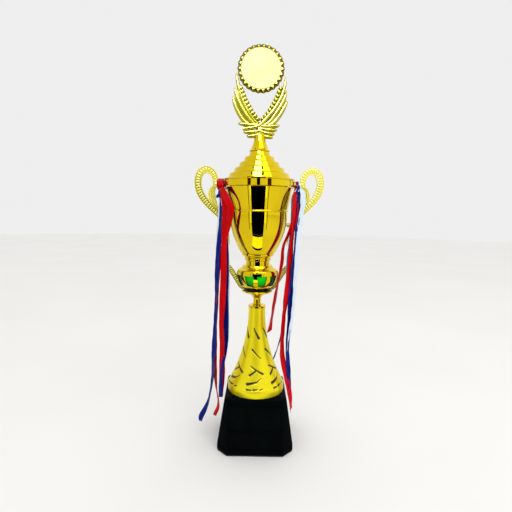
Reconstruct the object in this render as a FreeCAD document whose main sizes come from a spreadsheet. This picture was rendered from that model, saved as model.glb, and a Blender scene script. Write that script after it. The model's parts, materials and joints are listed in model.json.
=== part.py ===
import FreeCAD, Part

import math
import os

import Sketcher

# A lidded cup trophy with a finial, two scroll handles and a ribbon bunch on each, stacked on one tie rod.
# Row frame: +Z up, -Y the front, origin on the ground at the middle of the plinth. Millimetres.

doc = FreeCAD.newDocument("CupTrophy")
sheet = doc.addObject("Spreadsheet::Sheet", "Sizes")
NEAR_ZERO = 1e-9
OVERSHOOT = 5.0
THREAD_GAP = 0.02
SCREW_CUT_START = 20.0
OCTAGON_INSET = round(math.tan(math.pi / 8), 6)
WINDOW_START = 10.0
WINDOW_TURN = 12.5


class Size:
    """A length that is known both as a number and as an expression on the spreadsheet's cells."""

    def __init__(self, number, words):
        self.number = float(number)
        self.words = words

    def __add__(self, other):
        other = size_of(other)
        return Size(self.number + other.number, f"({self.words} + {other.words})")

    def __radd__(self, other):
        return size_of(other) + self

    def __sub__(self, other):
        other = size_of(other)
        return Size(self.number - other.number, f"({self.words} - {other.words})")

    def __rsub__(self, other):
        return size_of(other) - self

    def __mul__(self, factor):
        return Size(self.number * factor, f"({self.words} * {factor})")

    def __rmul__(self, factor):
        return self * factor

    def __truediv__(self, divisor):
        return Size(self.number / divisor, f"({self.words} / {divisor})")

    def __neg__(self):
        return Size(-self.number, f"(0 - {self.words})")


def size_of(value):
    """A plain number as a Size, or a Size as it is."""
    return value if isinstance(value, Size) else Size(value, repr(float(value)))


class Sheet:
    """Reads a driving dimension from the spreadsheet as an attribute."""

    def __init__(self, groups):
        row = 1
        for title, cells in groups.items():
            sheet.set(f"A{row}", title)
            row += 1
            for alias, number in cells.items():
                sheet.set(f"A{row}", alias)
                sheet.set(f"B{row}", str(number))
                sheet.setAlias(f"B{row}", alias)
                setattr(self, alias, Size(number, f"Sizes.{alias}"))
                row += 1


S = Sheet(
    {
        "plinth": {
            "felt_thick": 1.5,
            "plinth_top": 69.2,
            "band_top": 8.8,
            "foot_half": 48.0,
            "foot_flat": 34.9,
            "band_step": 1.2,
            "pad_inset": 0.8,
            "top_half": 38.9,
            "top_flat": 34.9,
            "plinth_wall": 2.6,
            "deck_thick": 4.0,
            "cover_thick": 2.5,
            "ballast_top": 46.0,
            "ballast_hole": 12.5,
        },
        "tie rod and fasteners": {
            "rod_radius": 3.0,
            "rod_hole": 3.2,
            "rod_low": 55.3,
            "rod_high": 258.3,
            "nut_across": 10.0,
            "nut_tall": 5.0,
            "washer_thick": 1.5,
            "washer_radius": 9.0,
            "screw_radius": 1.0,
            "screw_hole": 1.1,
            "screw_nut_across": 4.0,
            "screw_nut_tall": 1.6,
            "screw_washer_radius": 2.3,
            "screw_washer_thick": 0.6,
            "lid_washer_thick": 1.2,
            "lid_nut_across": 8.0,
            "lid_nut_tall": 4.0,
            "lid_rod_radius": 2.5,
            "lid_rod_hole": 2.6,
        },
        "trumpet column": {
            "trumpet_foot": 36.4,
            "trumpet_lip": 78.5,
            "trumpet_top": 178.5,
            "trumpet_neck": 10.8,
            "trumpet_wall": 1.6,
            "trumpet_bend": 199.0,
            "cap_radius": 11.5,
            "cap_thick": 2.5,
            "spigot_deep": 4.0,
        },
        "neck spool and saucer": {
            "spool_radius": 4.9,
            "spool_tall": 11.0,
            "spool_bead": 5.9,
            "saucer_root": 6.3,
            "saucer_lip": 20.0,
            "saucer_tall": 8.8,
            "saucer_rim": 1.4,
        },
        "lower bowl": {
            "liner_foot": 17.6,
            "liner_foot_tall": 4.2,
            "liner_wall": 1.4,
            "cage_low_radius": 19.1,
            "cage_high_radius": 26.9,
            "cage_tall": 20.5,
            "cage_wall": 1.4,
            "window_low": 3.4,
            "window_high": 16.9,
            "window_count": 10,
            "window_wide": 12.8,
            "dome_tall": 8.2,
            "dome_top_radius": 18.6,
            "ring_radius": 15.3,
            "ring_tall": 5.7,
            "collar_radius": 16.7,
            "collar_tall": 3.4,
            "arm_tip": 38.9,
            "arm_half": 1.6,
            "cage_bend": 24.5,
        },
        "cup": {
            "cup_wall": 1.2,
            "cup_foot_radius": 17.3,
            "cup_foot_tall": 2.6,
            "cup_step_radius": 20.5,
            "cup_step_tall": 3.4,
            "bowl_low_radius": 22.3,
            "bowl_mid_radius": 32.6,
            "bowl_lower_bend": 58.0,
            "bowl_upper_bend": 104.0,
            "bowl_mid": 272.4,
            "bead": 302.7,
            "bead_radius": 38.0,
            "bead_half": 1.1,
            "bowl_radius": 37.0,
            "shoulder_radius": 42.8,
            "shoulder": 331.9,
            "rim_radius": 44.1,
            "rim": 340.1,
        },
        "lid": {
            "flange_radius": 45.5,
            "flange_thick": 1.6,
            "seam_gap": 0.9,
            "lid_wall": 1.2,
            "lid_step": 6.9,
            "lid_first_radius": 39.5,
            "lid_last_radius": 13.9,
            "lid_lean": 1.9,
            "lid_steps": 5,
            "collar_gap": 0.6,
            "collar_deep": 2.2,
        },
        "finial": {
            "socket_foot": 13.2,
            "socket_waist": 11.2,
            "socket_head": 6.2,
            "socket_tall": 20.1,
            "socket_wall": 1.6,
            "medal_high": 475.7,
            "medal_radius": 24.2,
            "medal_thick": 1.6,
            "web_half": 0.8,
            "medal_rim_radius": 28.8,
            "frame_half": 2.6,
            "frond_spread": 33.9,
            "frond_low_tip": 440.9,
            "frond_high_tip": 469.3,
            "cross_high": 414.8,
            "tail_spread": 25.9,
            "stud_long": 34.0,
        },
        "handles": {
            "bar_high": 335.3,
            "bar_radius": 3.9,
            "arch_centre": 65.9,
            "arch_high": 338.4,
            "arch_top": 357.2,
            "arch_outer": 15.0,
            "band_wide": 8.1,
            "handle_half": 3.0,
            "boss_near": 36.0,
            "boss_high": 284.9,
            "boss_radius": 3.2,
            "stud_reach": 8.0,
            "tail_tip": 258.4,
        },
        "ribbons": {
            "loop_near": 46.1,
            "loop_wide": 1.7,
            "loop_inner": 4.3,
            "loop_outer": 5.4,
            "ribbon_thick": 0.9,
        },
    }
)
doc.recompute()


# ---------------------------------------------------------------- sketches and features


def bind(thing, name, size):
    """Binds one property or constraint to the spreadsheet."""
    thing.setExpression(name, size_of(size).words)


def arc_through(start, end, radius):
    """The arc from start to end with a signed radius (positive turns left), and whether it runs clockwise."""
    (ax, ay), (bx, by) = start, end
    half = math.hypot(bx - ax, by - ay) / 2
    rise = math.sqrt(max(radius * radius - half * half, 0.0))
    side = 1.0 if radius > 0 else -1.0
    cx = (ax + bx) / 2 - side * (by - ay) / (2 * half) * rise
    cy = (ay + by) / 2 + side * (bx - ax) / (2 * half) * rise
    circle = Part.Circle(FreeCAD.Vector(cx, cy, 0), FreeCAD.Vector(0, 0, 1), abs(radius))
    first = math.atan2(ay - cy, ax - cx)
    last = math.atan2(by - cy, bx - cx)
    if radius > 0:
        return Part.ArcOfCircle(circle, first, last), False
    return Part.ArcOfCircle(circle, last, first), True


def pin_point(sketch, edge, end, across, up, name):
    """Fixes one corner of an outline at its place on the sheet."""
    for kind, axis, value in (("DistanceX", -2, across), ("DistanceY", -1, up)):
        value = size_of(value)
        if abs(value.number) < NEAR_ZERO:
            sketch.addConstraint(Sketcher.Constraint("PointOnObject", edge, end, axis))
        else:
            number = sketch.addConstraint(Sketcher.Constraint(kind, -1, 1, edge, end, value.number))
            sketch.renameConstraint(number, name + kind[-1])
            bind(sketch, "Constraints." + name + kind[-1], value)


def outline(body, name, plane, corners, lift=None):
    """A closed sketch through corners (across, up) or (across, up, radius of the arc that arrives there)."""
    sketch = body.newObject("Sketcher::SketchObject", name)
    origin_plane = [f for f in body.Origin.OriginFeatures if f.Role == plane][0]
    sketch.AttachmentSupport = [(origin_plane, "")]
    sketch.MapMode = "FlatFace"
    if lift is not None:
        bind(sketch, ".AttachmentOffset.Base.z", lift)
    count = len(corners)
    places = [(size_of(c[0]).number, size_of(c[1]).number) for c in corners]
    ends = []
    for i in range(count):
        start, end, target = places[i], places[(i + 1) % count], corners[(i + 1) % count]
        if len(target) == 3:
            arc, clockwise = arc_through(start, end, size_of(target[2]).number)
            edge = sketch.addGeometry(arc, False)
            ends.append((edge, 2, 1) if clockwise else (edge, 1, 2))
        else:
            line = Part.LineSegment(FreeCAD.Vector(*start, 0), FreeCAD.Vector(*end, 0))
            ends.append((sketch.addGeometry(line, False), 1, 2))
    for i in range(count):
        here, after = ends[i], ends[(i + 1) % count]
        sketch.addConstraint(Sketcher.Constraint("Coincident", here[0], here[2], after[0], after[1]))
        pin_point(sketch, here[0], here[1], corners[i][0], corners[i][1], f"p{i}")
    for i in range(count):
        target = corners[(i + 1) % count]
        if len(target) == 3:
            radius = target[2] if size_of(target[2]).number > 0 else -size_of(target[2])
            number = sketch.addConstraint(Sketcher.Constraint("Radius", ends[i][0], size_of(radius).number))
            sketch.renameConstraint(number, f"bend{i}")
            bind(sketch, f"Constraints.bend{i}", radius)
    return sketch


def new_body(label):
    body = doc.addObject("PartDesign::Body", label)
    body.Label = label
    return body


def turned(label, corners):
    """A body turned about the Z axis from corners (radius, height)."""
    body = new_body(label)
    sketch = outline(body, label + "_profile", "XZ_Plane", corners)
    turn = body.newObject("PartDesign::Revolution", label + "_turn")
    turn.Profile = sketch
    turn.ReferenceAxis = (sketch, ["V_Axis"])
    turn.Angle = 360
    return body


def tube(label, inner, outer, low, high):
    """A plain ring or washer."""
    return turned(label, [(inner, low), (outer, low), (outer, high), (inner, high)])


def add_plate(body, name, corners, half, lift=None):
    """Adds a plate in the XZ plane, half thick to each side of it."""
    sketch = outline(body, name + "_outline", "XZ_Plane", corners)
    pad = body.newObject("PartDesign::Pad", name)
    pad.Profile = sketch
    pad.Midplane = True
    bind(pad, "Length", half * 2)
    if lift is not None:
        bind(sketch, ".AttachmentOffset.Base.z", lift)
    return pad


def cylinder(name, radius, length, place, direction=(0, 0, 1)):
    """A Part cylinder that starts at place, which is three sizes, and runs along direction."""
    made = doc.addObject("Part::Cylinder", name)
    bind(made, "Radius", radius)
    bind(made, "Height", length)
    made.Placement = FreeCAD.Placement(
        FreeCAD.Vector(0, 0, 0), FreeCAD.Rotation(FreeCAD.Vector(0, 0, 1), FreeCAD.Vector(*direction))
    )
    for axis, value in zip("xyz", place, strict=True):
        bind(made, f".Placement.Base.{axis}", value)
    return made


def hexagon(name, across, length, place, direction=(0, 0, 1)):
    """A hexagonal bar, measured across its flats."""
    made = doc.addObject("Part::Prism", name)
    made.Polygon = 6
    bind(made, "Circumradius", across / math.sqrt(3.0))
    bind(made, "Height", length)
    made.Placement = FreeCAD.Placement(
        FreeCAD.Vector(0, 0, 0), FreeCAD.Rotation(FreeCAD.Vector(0, 0, 1), FreeCAD.Vector(*direction))
    )
    for axis, value in zip("xyz", place, strict=True):
        bind(made, f".Placement.Base.{axis}", value)
    return made


def cut(label, base, tool):
    made = doc.addObject("Part::Cut", label)
    made.Base = base
    made.Tool = tool
    made.Label = label
    return made


def fused(label, pieces):
    made = doc.addObject("Part::MultiFuse", label)
    made.Shapes = pieces
    made.Label = label
    return made


def group(label, pieces):
    """Several identical separate solids as one node."""
    made = doc.addObject("Part::Compound", label)
    made.Links = pieces
    made.Label = label
    return made


def mirrored(label, source):
    """The same piece on the other side of the YZ plane."""
    made = doc.addObject("Part::Mirroring", label)
    made.Source = source
    made.Normal = FreeCAD.Vector(1, 0, 0)
    made.Label = label
    return made


# ---------------------------------------------------------------- plinth


def octagon(half, flat):
    """Corners of a square of that half width whose front face is 2 x flat wide between its cut corners."""
    return [
        (half, flat), (flat, half), (-flat, half), (-half, flat),
        (-half, -flat), (-flat, -half), (flat, -half), (half, -flat),
    ]  # fmt: skip


def octagon_loft(label, levels):
    """A solid through octagons, each (height, half width, half of its flat)."""
    body = new_body(label)
    sketches = [
        outline(body, f"{label}_level{i}", "XY_Plane", octagon(half, flat), lift=high)
        for i, (high, half, flat) in enumerate(levels)
    ]
    loft = body.newObject("PartDesign::AdditiveLoft", label + "_loft")
    loft.Profile = sketches[0]
    loft.Sections = sketches[1:]
    loft.Ruled = True
    return body


def octagon_at(high, inset=0.0):
    """The plinth's own octagon at a height, above the foot band, moved in by inset."""
    share = (high.number - S.band_top.number) / (S.plinth_top.number - S.band_top.number)
    half = S.foot_half + (S.top_half - S.foot_half) * round(share, 6) - inset
    flat = S.foot_flat + (S.top_flat - S.foot_flat) * round(share, 6) - inset * OCTAGON_INSET
    return high, half, flat


def plinth_pieces():
    felt = S.felt_thick
    wall, under = S.plinth_wall, S.plinth_top - S.deck_thick
    shoulder = (S.band_top, S.foot_half - S.band_step, S.foot_flat - S.band_step / 2)
    outer = octagon_loft("plinth_outer", [shoulder, octagon_at(S.plinth_top)])
    half, flat = S.foot_half, S.foot_flat
    band = octagon_loft("plinth_band", [(felt, half, flat), (S.band_top, half, flat)])
    inner = octagon_loft("plinth_hollow", [(felt, half - wall, flat - 1.2), octagon_at(under, wall)])
    hole = cylinder("plinth_rod_hole", S.rod_hole, S.deck_thick + OVERSHOOT * 2, (0, 0, under - OVERSHOOT))
    solid = fused("plinth_solid", [outer, band])
    plinth = cut("plinth_shell", cut("plinth_case", solid, inner), hole)
    pad_half, pad_flat = S.foot_half - S.pad_inset, S.foot_flat - S.pad_inset / 2
    pad = octagon_loft("felt_pad", [(0, pad_half, pad_flat), (felt, pad_half, pad_flat)])
    low = felt + S.cover_thick
    cover_half, cover_flat = S.foot_half - wall - S.pad_inset, S.foot_flat - 1.8
    cover = octagon_loft("base_cover", [(felt, cover_half, cover_flat), (low, cover_half, cover_flat)])
    clear = wall + S.band_step + 0.2
    block = octagon_loft("ballast_block", [octagon_at(low, clear), octagon_at(S.ballast_top, clear)])
    pocket = cylinder("ballast_pocket", S.ballast_hole, S.ballast_top, (0, 0, low - OVERSHOOT))
    return [pad, cover, plinth, cut("ballast", block, pocket)]


# ---------------------------------------------------------------- tie rod


def rod_pieces():
    under = S.plinth_top - S.deck_thick
    inside = cup_floor() + S.cup_wall
    rod = cylinder("tie_rod", S.rod_radius, S.rod_high - S.rod_low, (0, 0, S.rod_low))
    rod.Label = "tie_rod"
    base_washer = tube("base_washer", S.rod_hole, S.washer_radius, under - S.washer_thick, under)
    cup_washer = tube("cup_washer", S.rod_hole, S.washer_radius, inside, inside + S.washer_thick)
    nuts = []
    bore, deep = S.rod_radius + THREAD_GAP, S.nut_tall + OVERSHOOT * 2
    washer = S.washer_thick
    for label, low in (("base_nut", under - washer - S.nut_tall), ("cup_nut", inside + washer)):
        bar = hexagon(label + "_hexagon", S.nut_across, S.nut_tall, (0, 0, low))
        thread = cylinder(label + "_thread", bore, deep, (0, 0, low - OVERSHOOT))
        nuts.append(cut(label, bar, thread))
    return [rod, base_washer, cup_washer, *nuts]


# ---------------------------------------------------------------- trumpet column, spool, saucer


def trumpet_pieces():
    foot, wall, top = S.trumpet_foot, S.trumpet_wall, S.trumpet_top
    trumpet = turned(
        "trumpet",
        [
            (foot - wall, S.plinth_top),
            (foot, S.plinth_top),
            (foot, S.plinth_top + 4.5, 6.0),
            (foot - 0.6, S.trumpet_lip),
            (S.trumpet_neck, top, -S.trumpet_bend),
            (S.trumpet_neck - wall, top),
            (foot - 0.6 - wall, S.trumpet_lip, S.trumpet_bend + wall),
        ],
    )
    cap = turned(
        "trumpet_cap",
        [
            (S.rod_hole, top - S.spigot_deep),
            (S.trumpet_neck - wall - 0.15, top - S.spigot_deep),
            (S.trumpet_neck - wall - 0.15, top),
            (S.cap_radius, top),
            (S.cap_radius, top + S.cap_thick - 0.8),
            (S.cap_radius - 0.8, top + S.cap_thick),
            (S.rod_hole, top + S.cap_thick),
        ],
    )
    low = top + S.cap_thick
    high = low + S.spool_tall
    spool = turned(
        "neck_spool",
        [
            (S.rod_hole, low),
            (S.spool_bead, low),
            (S.spool_bead, low + 1.2),
            (S.spool_radius, low + 2.2),
            (S.spool_radius, high - 3.2),
            (S.saucer_root, high, -5.0),
            (S.rod_hole, high),
        ],
    )
    rim = high + S.saucer_tall - S.saucer_rim
    saucer = turned(
        "saucer",
        [
            (S.rod_hole, high),
            (S.saucer_root, high),
            (S.saucer_root + 2.6, high + 3.0),
            (S.saucer_lip - 1.2, rim - 0.6, 22.0),
            (S.saucer_lip, rim, 1.2),
            (S.saucer_lip - 1.0, rim + S.saucer_rim, 1.2),
            (S.rod_hole, rim + S.saucer_rim),
        ],
    )
    return [trumpet, cap, spool, saucer]


def saucer_top():
    return S.trumpet_top + S.cap_thick + S.spool_tall + S.saucer_tall


# ---------------------------------------------------------------- lower bowl with its green liner


def lower_bowl_pieces():
    base = saucer_top()
    low = base + S.liner_foot_tall
    high = low + S.cage_tall
    small, large, wall = S.cage_low_radius, S.cage_high_radius, S.cage_wall
    curve = S.cage_bend
    liner = turned(
        "gem_liner",
        [
            (S.rod_hole, base),
            (S.liner_foot, base),
            (S.liner_foot, low + 0.2),
            (large - wall - 0.2, high - 1.0, curve - wall),
            (large - wall - 0.2 - S.liner_wall, high - 1.0),
            (S.liner_foot - S.liner_wall - 0.6, low + 1.4, 1.5 - curve),
            (S.rod_hole, low + 1.4),
        ],
    )
    shell = turned(
        "cage_shell",
        [
            (small, low),
            (large, high - 5.0, curve),
            (large, high),
            (large - wall, high),
            (large - wall, high - 5.0),
            (small - wall, low, wall - curve),
        ],
    )
    window = doc.addObject("Part::Wedge", "window")
    bind(window, "Xmin", -S.window_wide * 0.34)
    bind(window, "Xmax", S.window_wide * 0.34)
    bind(window, "X2min", -S.window_wide / 2)
    bind(window, "X2max", S.window_wide / 2)
    window.Ymin = 0
    window.Zmin = WINDOW_START
    window.Z2min = WINDOW_START
    bind(window, "Ymax", S.window_high - S.window_low)
    bind(window, "Zmax", large + OVERSHOOT)
    bind(window, "Z2max", large + OVERSHOOT)
    windows = []
    for i in range(int(S.window_count.number)):
        tool = doc.addObject("Part::Feature", f"window{i}")
        windows.append(tool)
    doc.recompute()
    stand = FreeCAD.Rotation(FreeCAD.Vector(1, 0, 0), 90)
    for i, tool in enumerate(windows):
        turn = FreeCAD.Rotation(FreeCAD.Vector(0, 0, 1), 360.0 * i / len(windows) + WINDOW_TURN)
        tool.Shape = window.Shape
        tool.Placement = FreeCAD.Placement(
            FreeCAD.Vector(0, 0, (low + S.window_low).number), turn.multiply(stand)
        )
    cage = cut("lower_bowl", shell, fused("windows", windows))
    dome_top = high + S.dome_tall
    dome = turned(
        "bowl_dome",
        [
            (S.rod_hole, high),
            (large - 0.4, high),
            (large - 0.9, high + 1.6),
            (large - 3.0, high + 3.2, 3.0),
            (S.dome_top_radius, dome_top, -8.0),
            (S.rod_hole, dome_top),
            (S.rod_hole, dome_top - 2.0),
            (S.dome_top_radius - 2.0, dome_top - 2.0),
            (large - 3.4, high + 1.2),
            (S.rod_hole, high + 1.2),
        ],
    )
    ring = tube("neck_ring", S.rod_hole, S.ring_radius, dome_top, dome_top + S.ring_tall)
    collar = turned(
        "neck_collar",
        [
            (S.rod_hole, dome_top + S.ring_tall),
            (S.collar_radius - 0.8, dome_top + S.ring_tall),
            (S.collar_radius, dome_top + S.ring_tall + 0.8, 0.8),
            (S.collar_radius, cup_floor() - 0.8),
            (S.collar_radius - 0.8, cup_floor(), 0.8),
            (S.rod_hole, cup_floor()),
        ],
    )
    arm = new_body("bowl_arm_right")
    add_plate(
        arm,
        "arm_plate",
        [
            (S.saucer_lip + 0.2, base - 1.0),
            (S.saucer_lip + 3.0, base + 1.0),
            (large + 6.0, high - 6.0, 45.0),
            (S.arm_tip, high + 8.0, 60.0),
            (large + 4.4, high + 3.0, -30.0),
            (large + 0.4, high - 4.0, -22.0),
            (S.saucer_lip + 0.2, base + 1.2, -28.0),
        ],
        S.arm_half,
    )
    return [liner, cage, dome, ring, collar, arm, mirrored("bowl_arm_left", arm)]


def cup_floor():
    """The height of the cup's underside, which rests on the neck collar."""
    return (
        saucer_top() + S.liner_foot_tall + S.cage_tall + S.dome_tall + S.ring_tall + S.collar_tall
    )


# ---------------------------------------------------------------- cup


def cup_piece():
    wall, floor = S.cup_wall, cup_floor()
    step = floor + S.cup_foot_tall
    low = step + S.cup_step_tall
    upper, lower = S.bowl_upper_bend, S.bowl_lower_bend
    body = turned(
        "cup",
        [
            (S.rod_hole, floor),
            (S.cup_foot_radius, floor),
            (S.cup_foot_radius, step),
            (S.cup_step_radius, step + 0.8),
            (S.cup_step_radius, low),
            (S.bowl_low_radius, low + 0.8),
            (S.bowl_mid_radius, S.bowl_mid, lower),
            (S.bowl_radius, S.bead - S.bead_half, upper),
            (S.bead_radius, S.bead, 1.5),
            (S.bowl_radius + 0.2, S.bead + S.bead_half, 1.5),
            (S.shoulder_radius, S.shoulder - 0.6),
            (S.rim_radius, S.shoulder + 0.4),
            (S.rim_radius, S.rim),
            (S.rim_radius - wall, S.rim),
            (S.rim_radius - wall, S.shoulder + 0.6),
            (S.shoulder_radius - wall, S.shoulder - 0.4),
            (S.bowl_radius - wall, S.bead),
            (S.bowl_mid_radius - wall, S.bowl_mid + 0.3, -(upper - wall)),
            (S.bowl_low_radius - 0.2, low + wall + 1.4, -(lower - wall)),
            (S.cup_step_radius - wall, low + wall + 0.2),
            (S.cup_step_radius - wall, step + wall + 1.0),
            (S.cup_foot_radius - wall, step + wall + 0.2),
            (S.cup_foot_radius - wall, floor + wall),
            (S.rod_hole, floor + wall),
        ],
    )
    holes = []
    for i, side in enumerate((1, -1)):
        for j, high in enumerate((S.bar_high, S.boss_high)):
            place = (side * SCREW_CUT_START, 0, high)
            holes.append(cylinder(f"cup_screw_hole{i}{j}", S.screw_hole, S.rim_radius, place, (side, 0, 0)))
    return [cut("cup_bowl", body, fused("cup_screw_holes", holes))]


# ---------------------------------------------------------------- lid and finial


def lid_pieces():
    rim, wall, step = S.rim, S.lid_wall, S.lid_step
    base = rim + S.flange_thick
    count = int(S.lid_steps.number)
    tread = (S.lid_first_radius - S.lid_last_radius) / (count - 1)
    outer, inner = [], []
    for i in range(count):
        radius = S.lid_first_radius - tread * i
        low, high = base + step * i, base + step * (i + 1)
        outer += [(radius, low), (radius - S.lid_lean, high)]
        inner += [(radius - wall, low - wall), (radius - S.lid_lean - wall, high - wall)]
    shell = turned(
        "lid_shell",
        [
            (S.flange_radius - 2.2, rim),
            (S.flange_radius - 2.0, rim + S.seam_gap),
            (S.flange_radius, rim + S.seam_gap),
            (S.flange_radius, base),
            *outer,
            (S.lid_rod_hole, base + step * count),
            (S.lid_rod_hole, base + step * count - wall),
            *inner[:0:-1],
            (S.lid_first_radius - wall, rim),
        ],
    )
    throat = S.rim_radius - S.cup_wall - S.collar_gap
    collar = tube("lid_collar", throat - 1.2, throat, rim - S.collar_deep, rim)
    top = base + step * count
    foot, head, tall, thin = S.socket_foot, S.socket_head, S.socket_tall, S.socket_wall
    socket = turned(
        "finial_socket",
        [
            (foot - thin - 1.4, top),
            (foot, top),
            (foot, top + 1.2),
            (S.socket_waist, top + 2.6),
            (head + 1.4, top + 12.2, -90.0),
            (head, top + tall),
            (S.lid_rod_hole, top + tall),
            (S.lid_rod_hole, top + 9.0),
            (foot - thin - 4.8, top + 6.0),
            (foot - thin - 1.4, top + 1.2),
        ],
    )
    under = top - wall
    washer_low = under - S.lid_washer_thick
    washer = tube("lid_washer", S.lid_rod_hole, S.washer_radius - 1.0, washer_low, under)
    nut_low = washer_low - S.lid_nut_tall
    bar = hexagon("lid_nut_hexagon", S.lid_nut_across, S.lid_nut_tall, (0, 0, nut_low))
    bore, deep = S.lid_rod_radius + THREAD_GAP, S.lid_nut_tall + OVERSHOOT * 2
    thread = cylinder("lid_nut_thread", bore, deep, (0, 0, nut_low - OVERSHOOT))
    stud = cylinder("finial_stud", S.lid_rod_radius, S.stud_long, (0, 0, nut_low - 1.8))
    stud.Label = stud.Name
    return [shell, collar, socket, washer, cut("lid_nut", bar, thread), stud]


def finial_top():
    """The height of the socket's head, where the finial's foot stands."""
    return S.rim + S.flange_thick + S.lid_step * int(S.lid_steps.number) + S.socket_tall


def frond_outline():
    """The right frond of the finial, from the crossing up to its three rib tips and back inside."""
    cross, out = S.cross_high, S.frond_spread
    low, middle, high = S.frond_low_tip, S.frond_low_tip + 11.0, S.frond_high_tip
    return [
        (0, cross - 8.0),
        (out - 16.0, cross - 5.0),
        (out, low, 58.0),
        (out - 2.2, low + 2.0),
        (out - 1.2, middle),
        (out - 3.2, middle + 2.0),
        (out - 3.4, high),
        (out - 5.6, high),
        (out - 11.0, S.medal_high - 17.0),
        (0, cross + 0.6, -92.0),
    ]


def flipped(corners):
    """The outline on the other side of the vertical axis, run backwards so that it turns the same way."""
    count = len(corners)
    back = []
    for i in range(count):
        across, up = corners[-i][:2]
        arriving = corners[-i + 1] if i else corners[1]
        back.append((-size_of(across), up, *arriving[2:]))
    return back


def finial_pieces():
    seat, half = finial_top(), S.frame_half
    frame = new_body("finial_plate")
    add_plate(frame, "right_frond", frond_outline(), half)
    add_plate(frame, "left_frond", flipped(frond_outline()), half)
    wide, narrow, cross = S.tail_spread, S.socket_head + 1.4, S.cross_high
    add_plate(
        frame,
        "crossed_tails",
        [
            (-narrow, seat),
            (narrow, seat),
            (narrow + 6.0, seat - 3.6),
            (narrow + 9.4, seat - 3.6),
            (wide, cross - 5.0),
            (wide - 1.0, cross - 1.6),
            (narrow, cross + 3.0, -60.0),
            (-narrow, cross + 3.0),
            (1.0 - wide, cross - 1.6, -60.0),
            (-wide, cross - 5.0),
            (-narrow - 9.4, seat - 3.6),
            (-narrow - 6.0, seat - 3.6),
        ],
        half + 0.8,
    )
    high = S.medal_high
    rim = cylinder("medal_rim", S.medal_rim_radius, half * 2, (0, half, high), (0, -1, 0))
    deep = half - S.web_half + OVERSHOOT
    cuts = [cylinder("stud_hole", S.lid_rod_radius + 0.1, S.stud_long, (0, 0, seat - OVERSHOOT * 4))]
    medals = []
    for name, side in (("front", -1), ("back", 1)):
        place = (0, S.web_half * side, high)
        cuts.append(cylinder("medal_seat_" + name, S.medal_radius + 0.1, deep, place, (0, side, 0)))
        disc = cylinder("medal_disc_" + name, S.medal_radius, S.medal_thick, place, (0, side, 0))
        disc.Label = disc.Name
        medals.append(disc)
    return [cut("finial_frame", fused("finial_blank", [frame, rim]), fused("finial_cuts", cuts)), *medals]


# ---------------------------------------------------------------- handles and their screws


def handle_outline():
    """The loop of a handle: up from its root, over the arch, down the lower arm to the tail, and back."""
    centre, high, top = S.arch_centre, S.arch_high, S.arch_top
    out, wide, root = S.arch_outer, S.band_wide, S.bar_high - S.bar_radius
    near = S.loop_near + S.loop_wide * 3 + 0.6
    tail, wall = S.tail_tip, S.boss_near + 1.2
    return [
        (near, root),
        (near, high),
        (centre, top, -15.4),
        (centre + out, high, -15.6),
        (centre + 8.2, high - 23.0, -38.0),
        (centre - 7.0, high - 39.0, -70.0),
        (centre - 18.6, high - 48.0),
        (wall + 4.6, high - 61.0, 18.0),
        (wall - 0.2, tail, -90.0),
        (wall - 1.4, tail + 0.6),
        (wall + 0.1, high - 61.0, 90.0),
        (wall + 5.4, high - 44.0, -20.0),
        (centre - 9.0, high - 29.4),
        (centre + 2.6, high - 16.0, 60.0),
        (centre + out - wide, high, 30.0),
        (centre, top - wide, 8.0),
        (centre - 8.0, high + 0.6, 8.6),
        (centre - 8.0, root),
    ]


def leaf_outline():
    """The crescent leaf inside the loop, from the root out and down to the lower arm."""
    centre, high = S.arch_centre, S.arch_high
    return [
        (centre - 12.6, high - 3.0),
        (centre - 2.6, high - 13.0, -11.6),
        (centre - 10.8, high - 32.0, -40.0),
        (centre - 17.0, high - 37.4),
        (centre - 11.4, high - 17.0, 36.0),
        (centre - 15.4, high - 4.0, 22.0),
    ]


def handle_screws():
    """The studs of both handles with a washer and a nut inside the cup for each, as two nodes."""
    studs, nuts = [], []
    for name, wall, reach, level in (
        ("high", S.rim_radius - S.cup_wall - 0.1, S.stud_reach, S.bar_high),
        ("low", S.boss_near - S.cup_wall - 1.1, S.stud_reach - 3.0, S.boss_high),
    ):
        nut_near = wall - S.screw_washer_thick - S.screw_nut_tall
        studs.append(cylinder("stud_" + name, S.screw_radius, reach + 4.5, (wall - 4.5, 0, level), (1, 0, 0)))
        washer_near = (wall - S.screw_washer_thick, 0, level)
        disc = cylinder("disc_" + name, S.screw_washer_radius, S.screw_washer_thick, washer_near, (1, 0, 0))
        bar = hexagon("bar_" + name, S.screw_nut_across, S.screw_nut_tall, (nut_near, 0, level), (1, 0, 0))
        bore_place = (nut_near - OVERSHOOT, 0, level)
        for kind, solid, bore in (("washer", disc, S.screw_hole), ("nut", bar, S.screw_radius + THREAD_GAP)):
            tool = cylinder(f"{kind}_bore_{name}", bore, OVERSHOOT * 3, bore_place, (1, 0, 0))
            nuts.append(cut(f"{kind}_{name}", solid, tool))
    both = [pieces + [mirrored("other_" + piece.Name, piece) for piece in pieces] for pieces in (studs, nuts)]
    return [group("handle_studs", both[0]), group("handle_nuts", both[1])]


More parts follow.
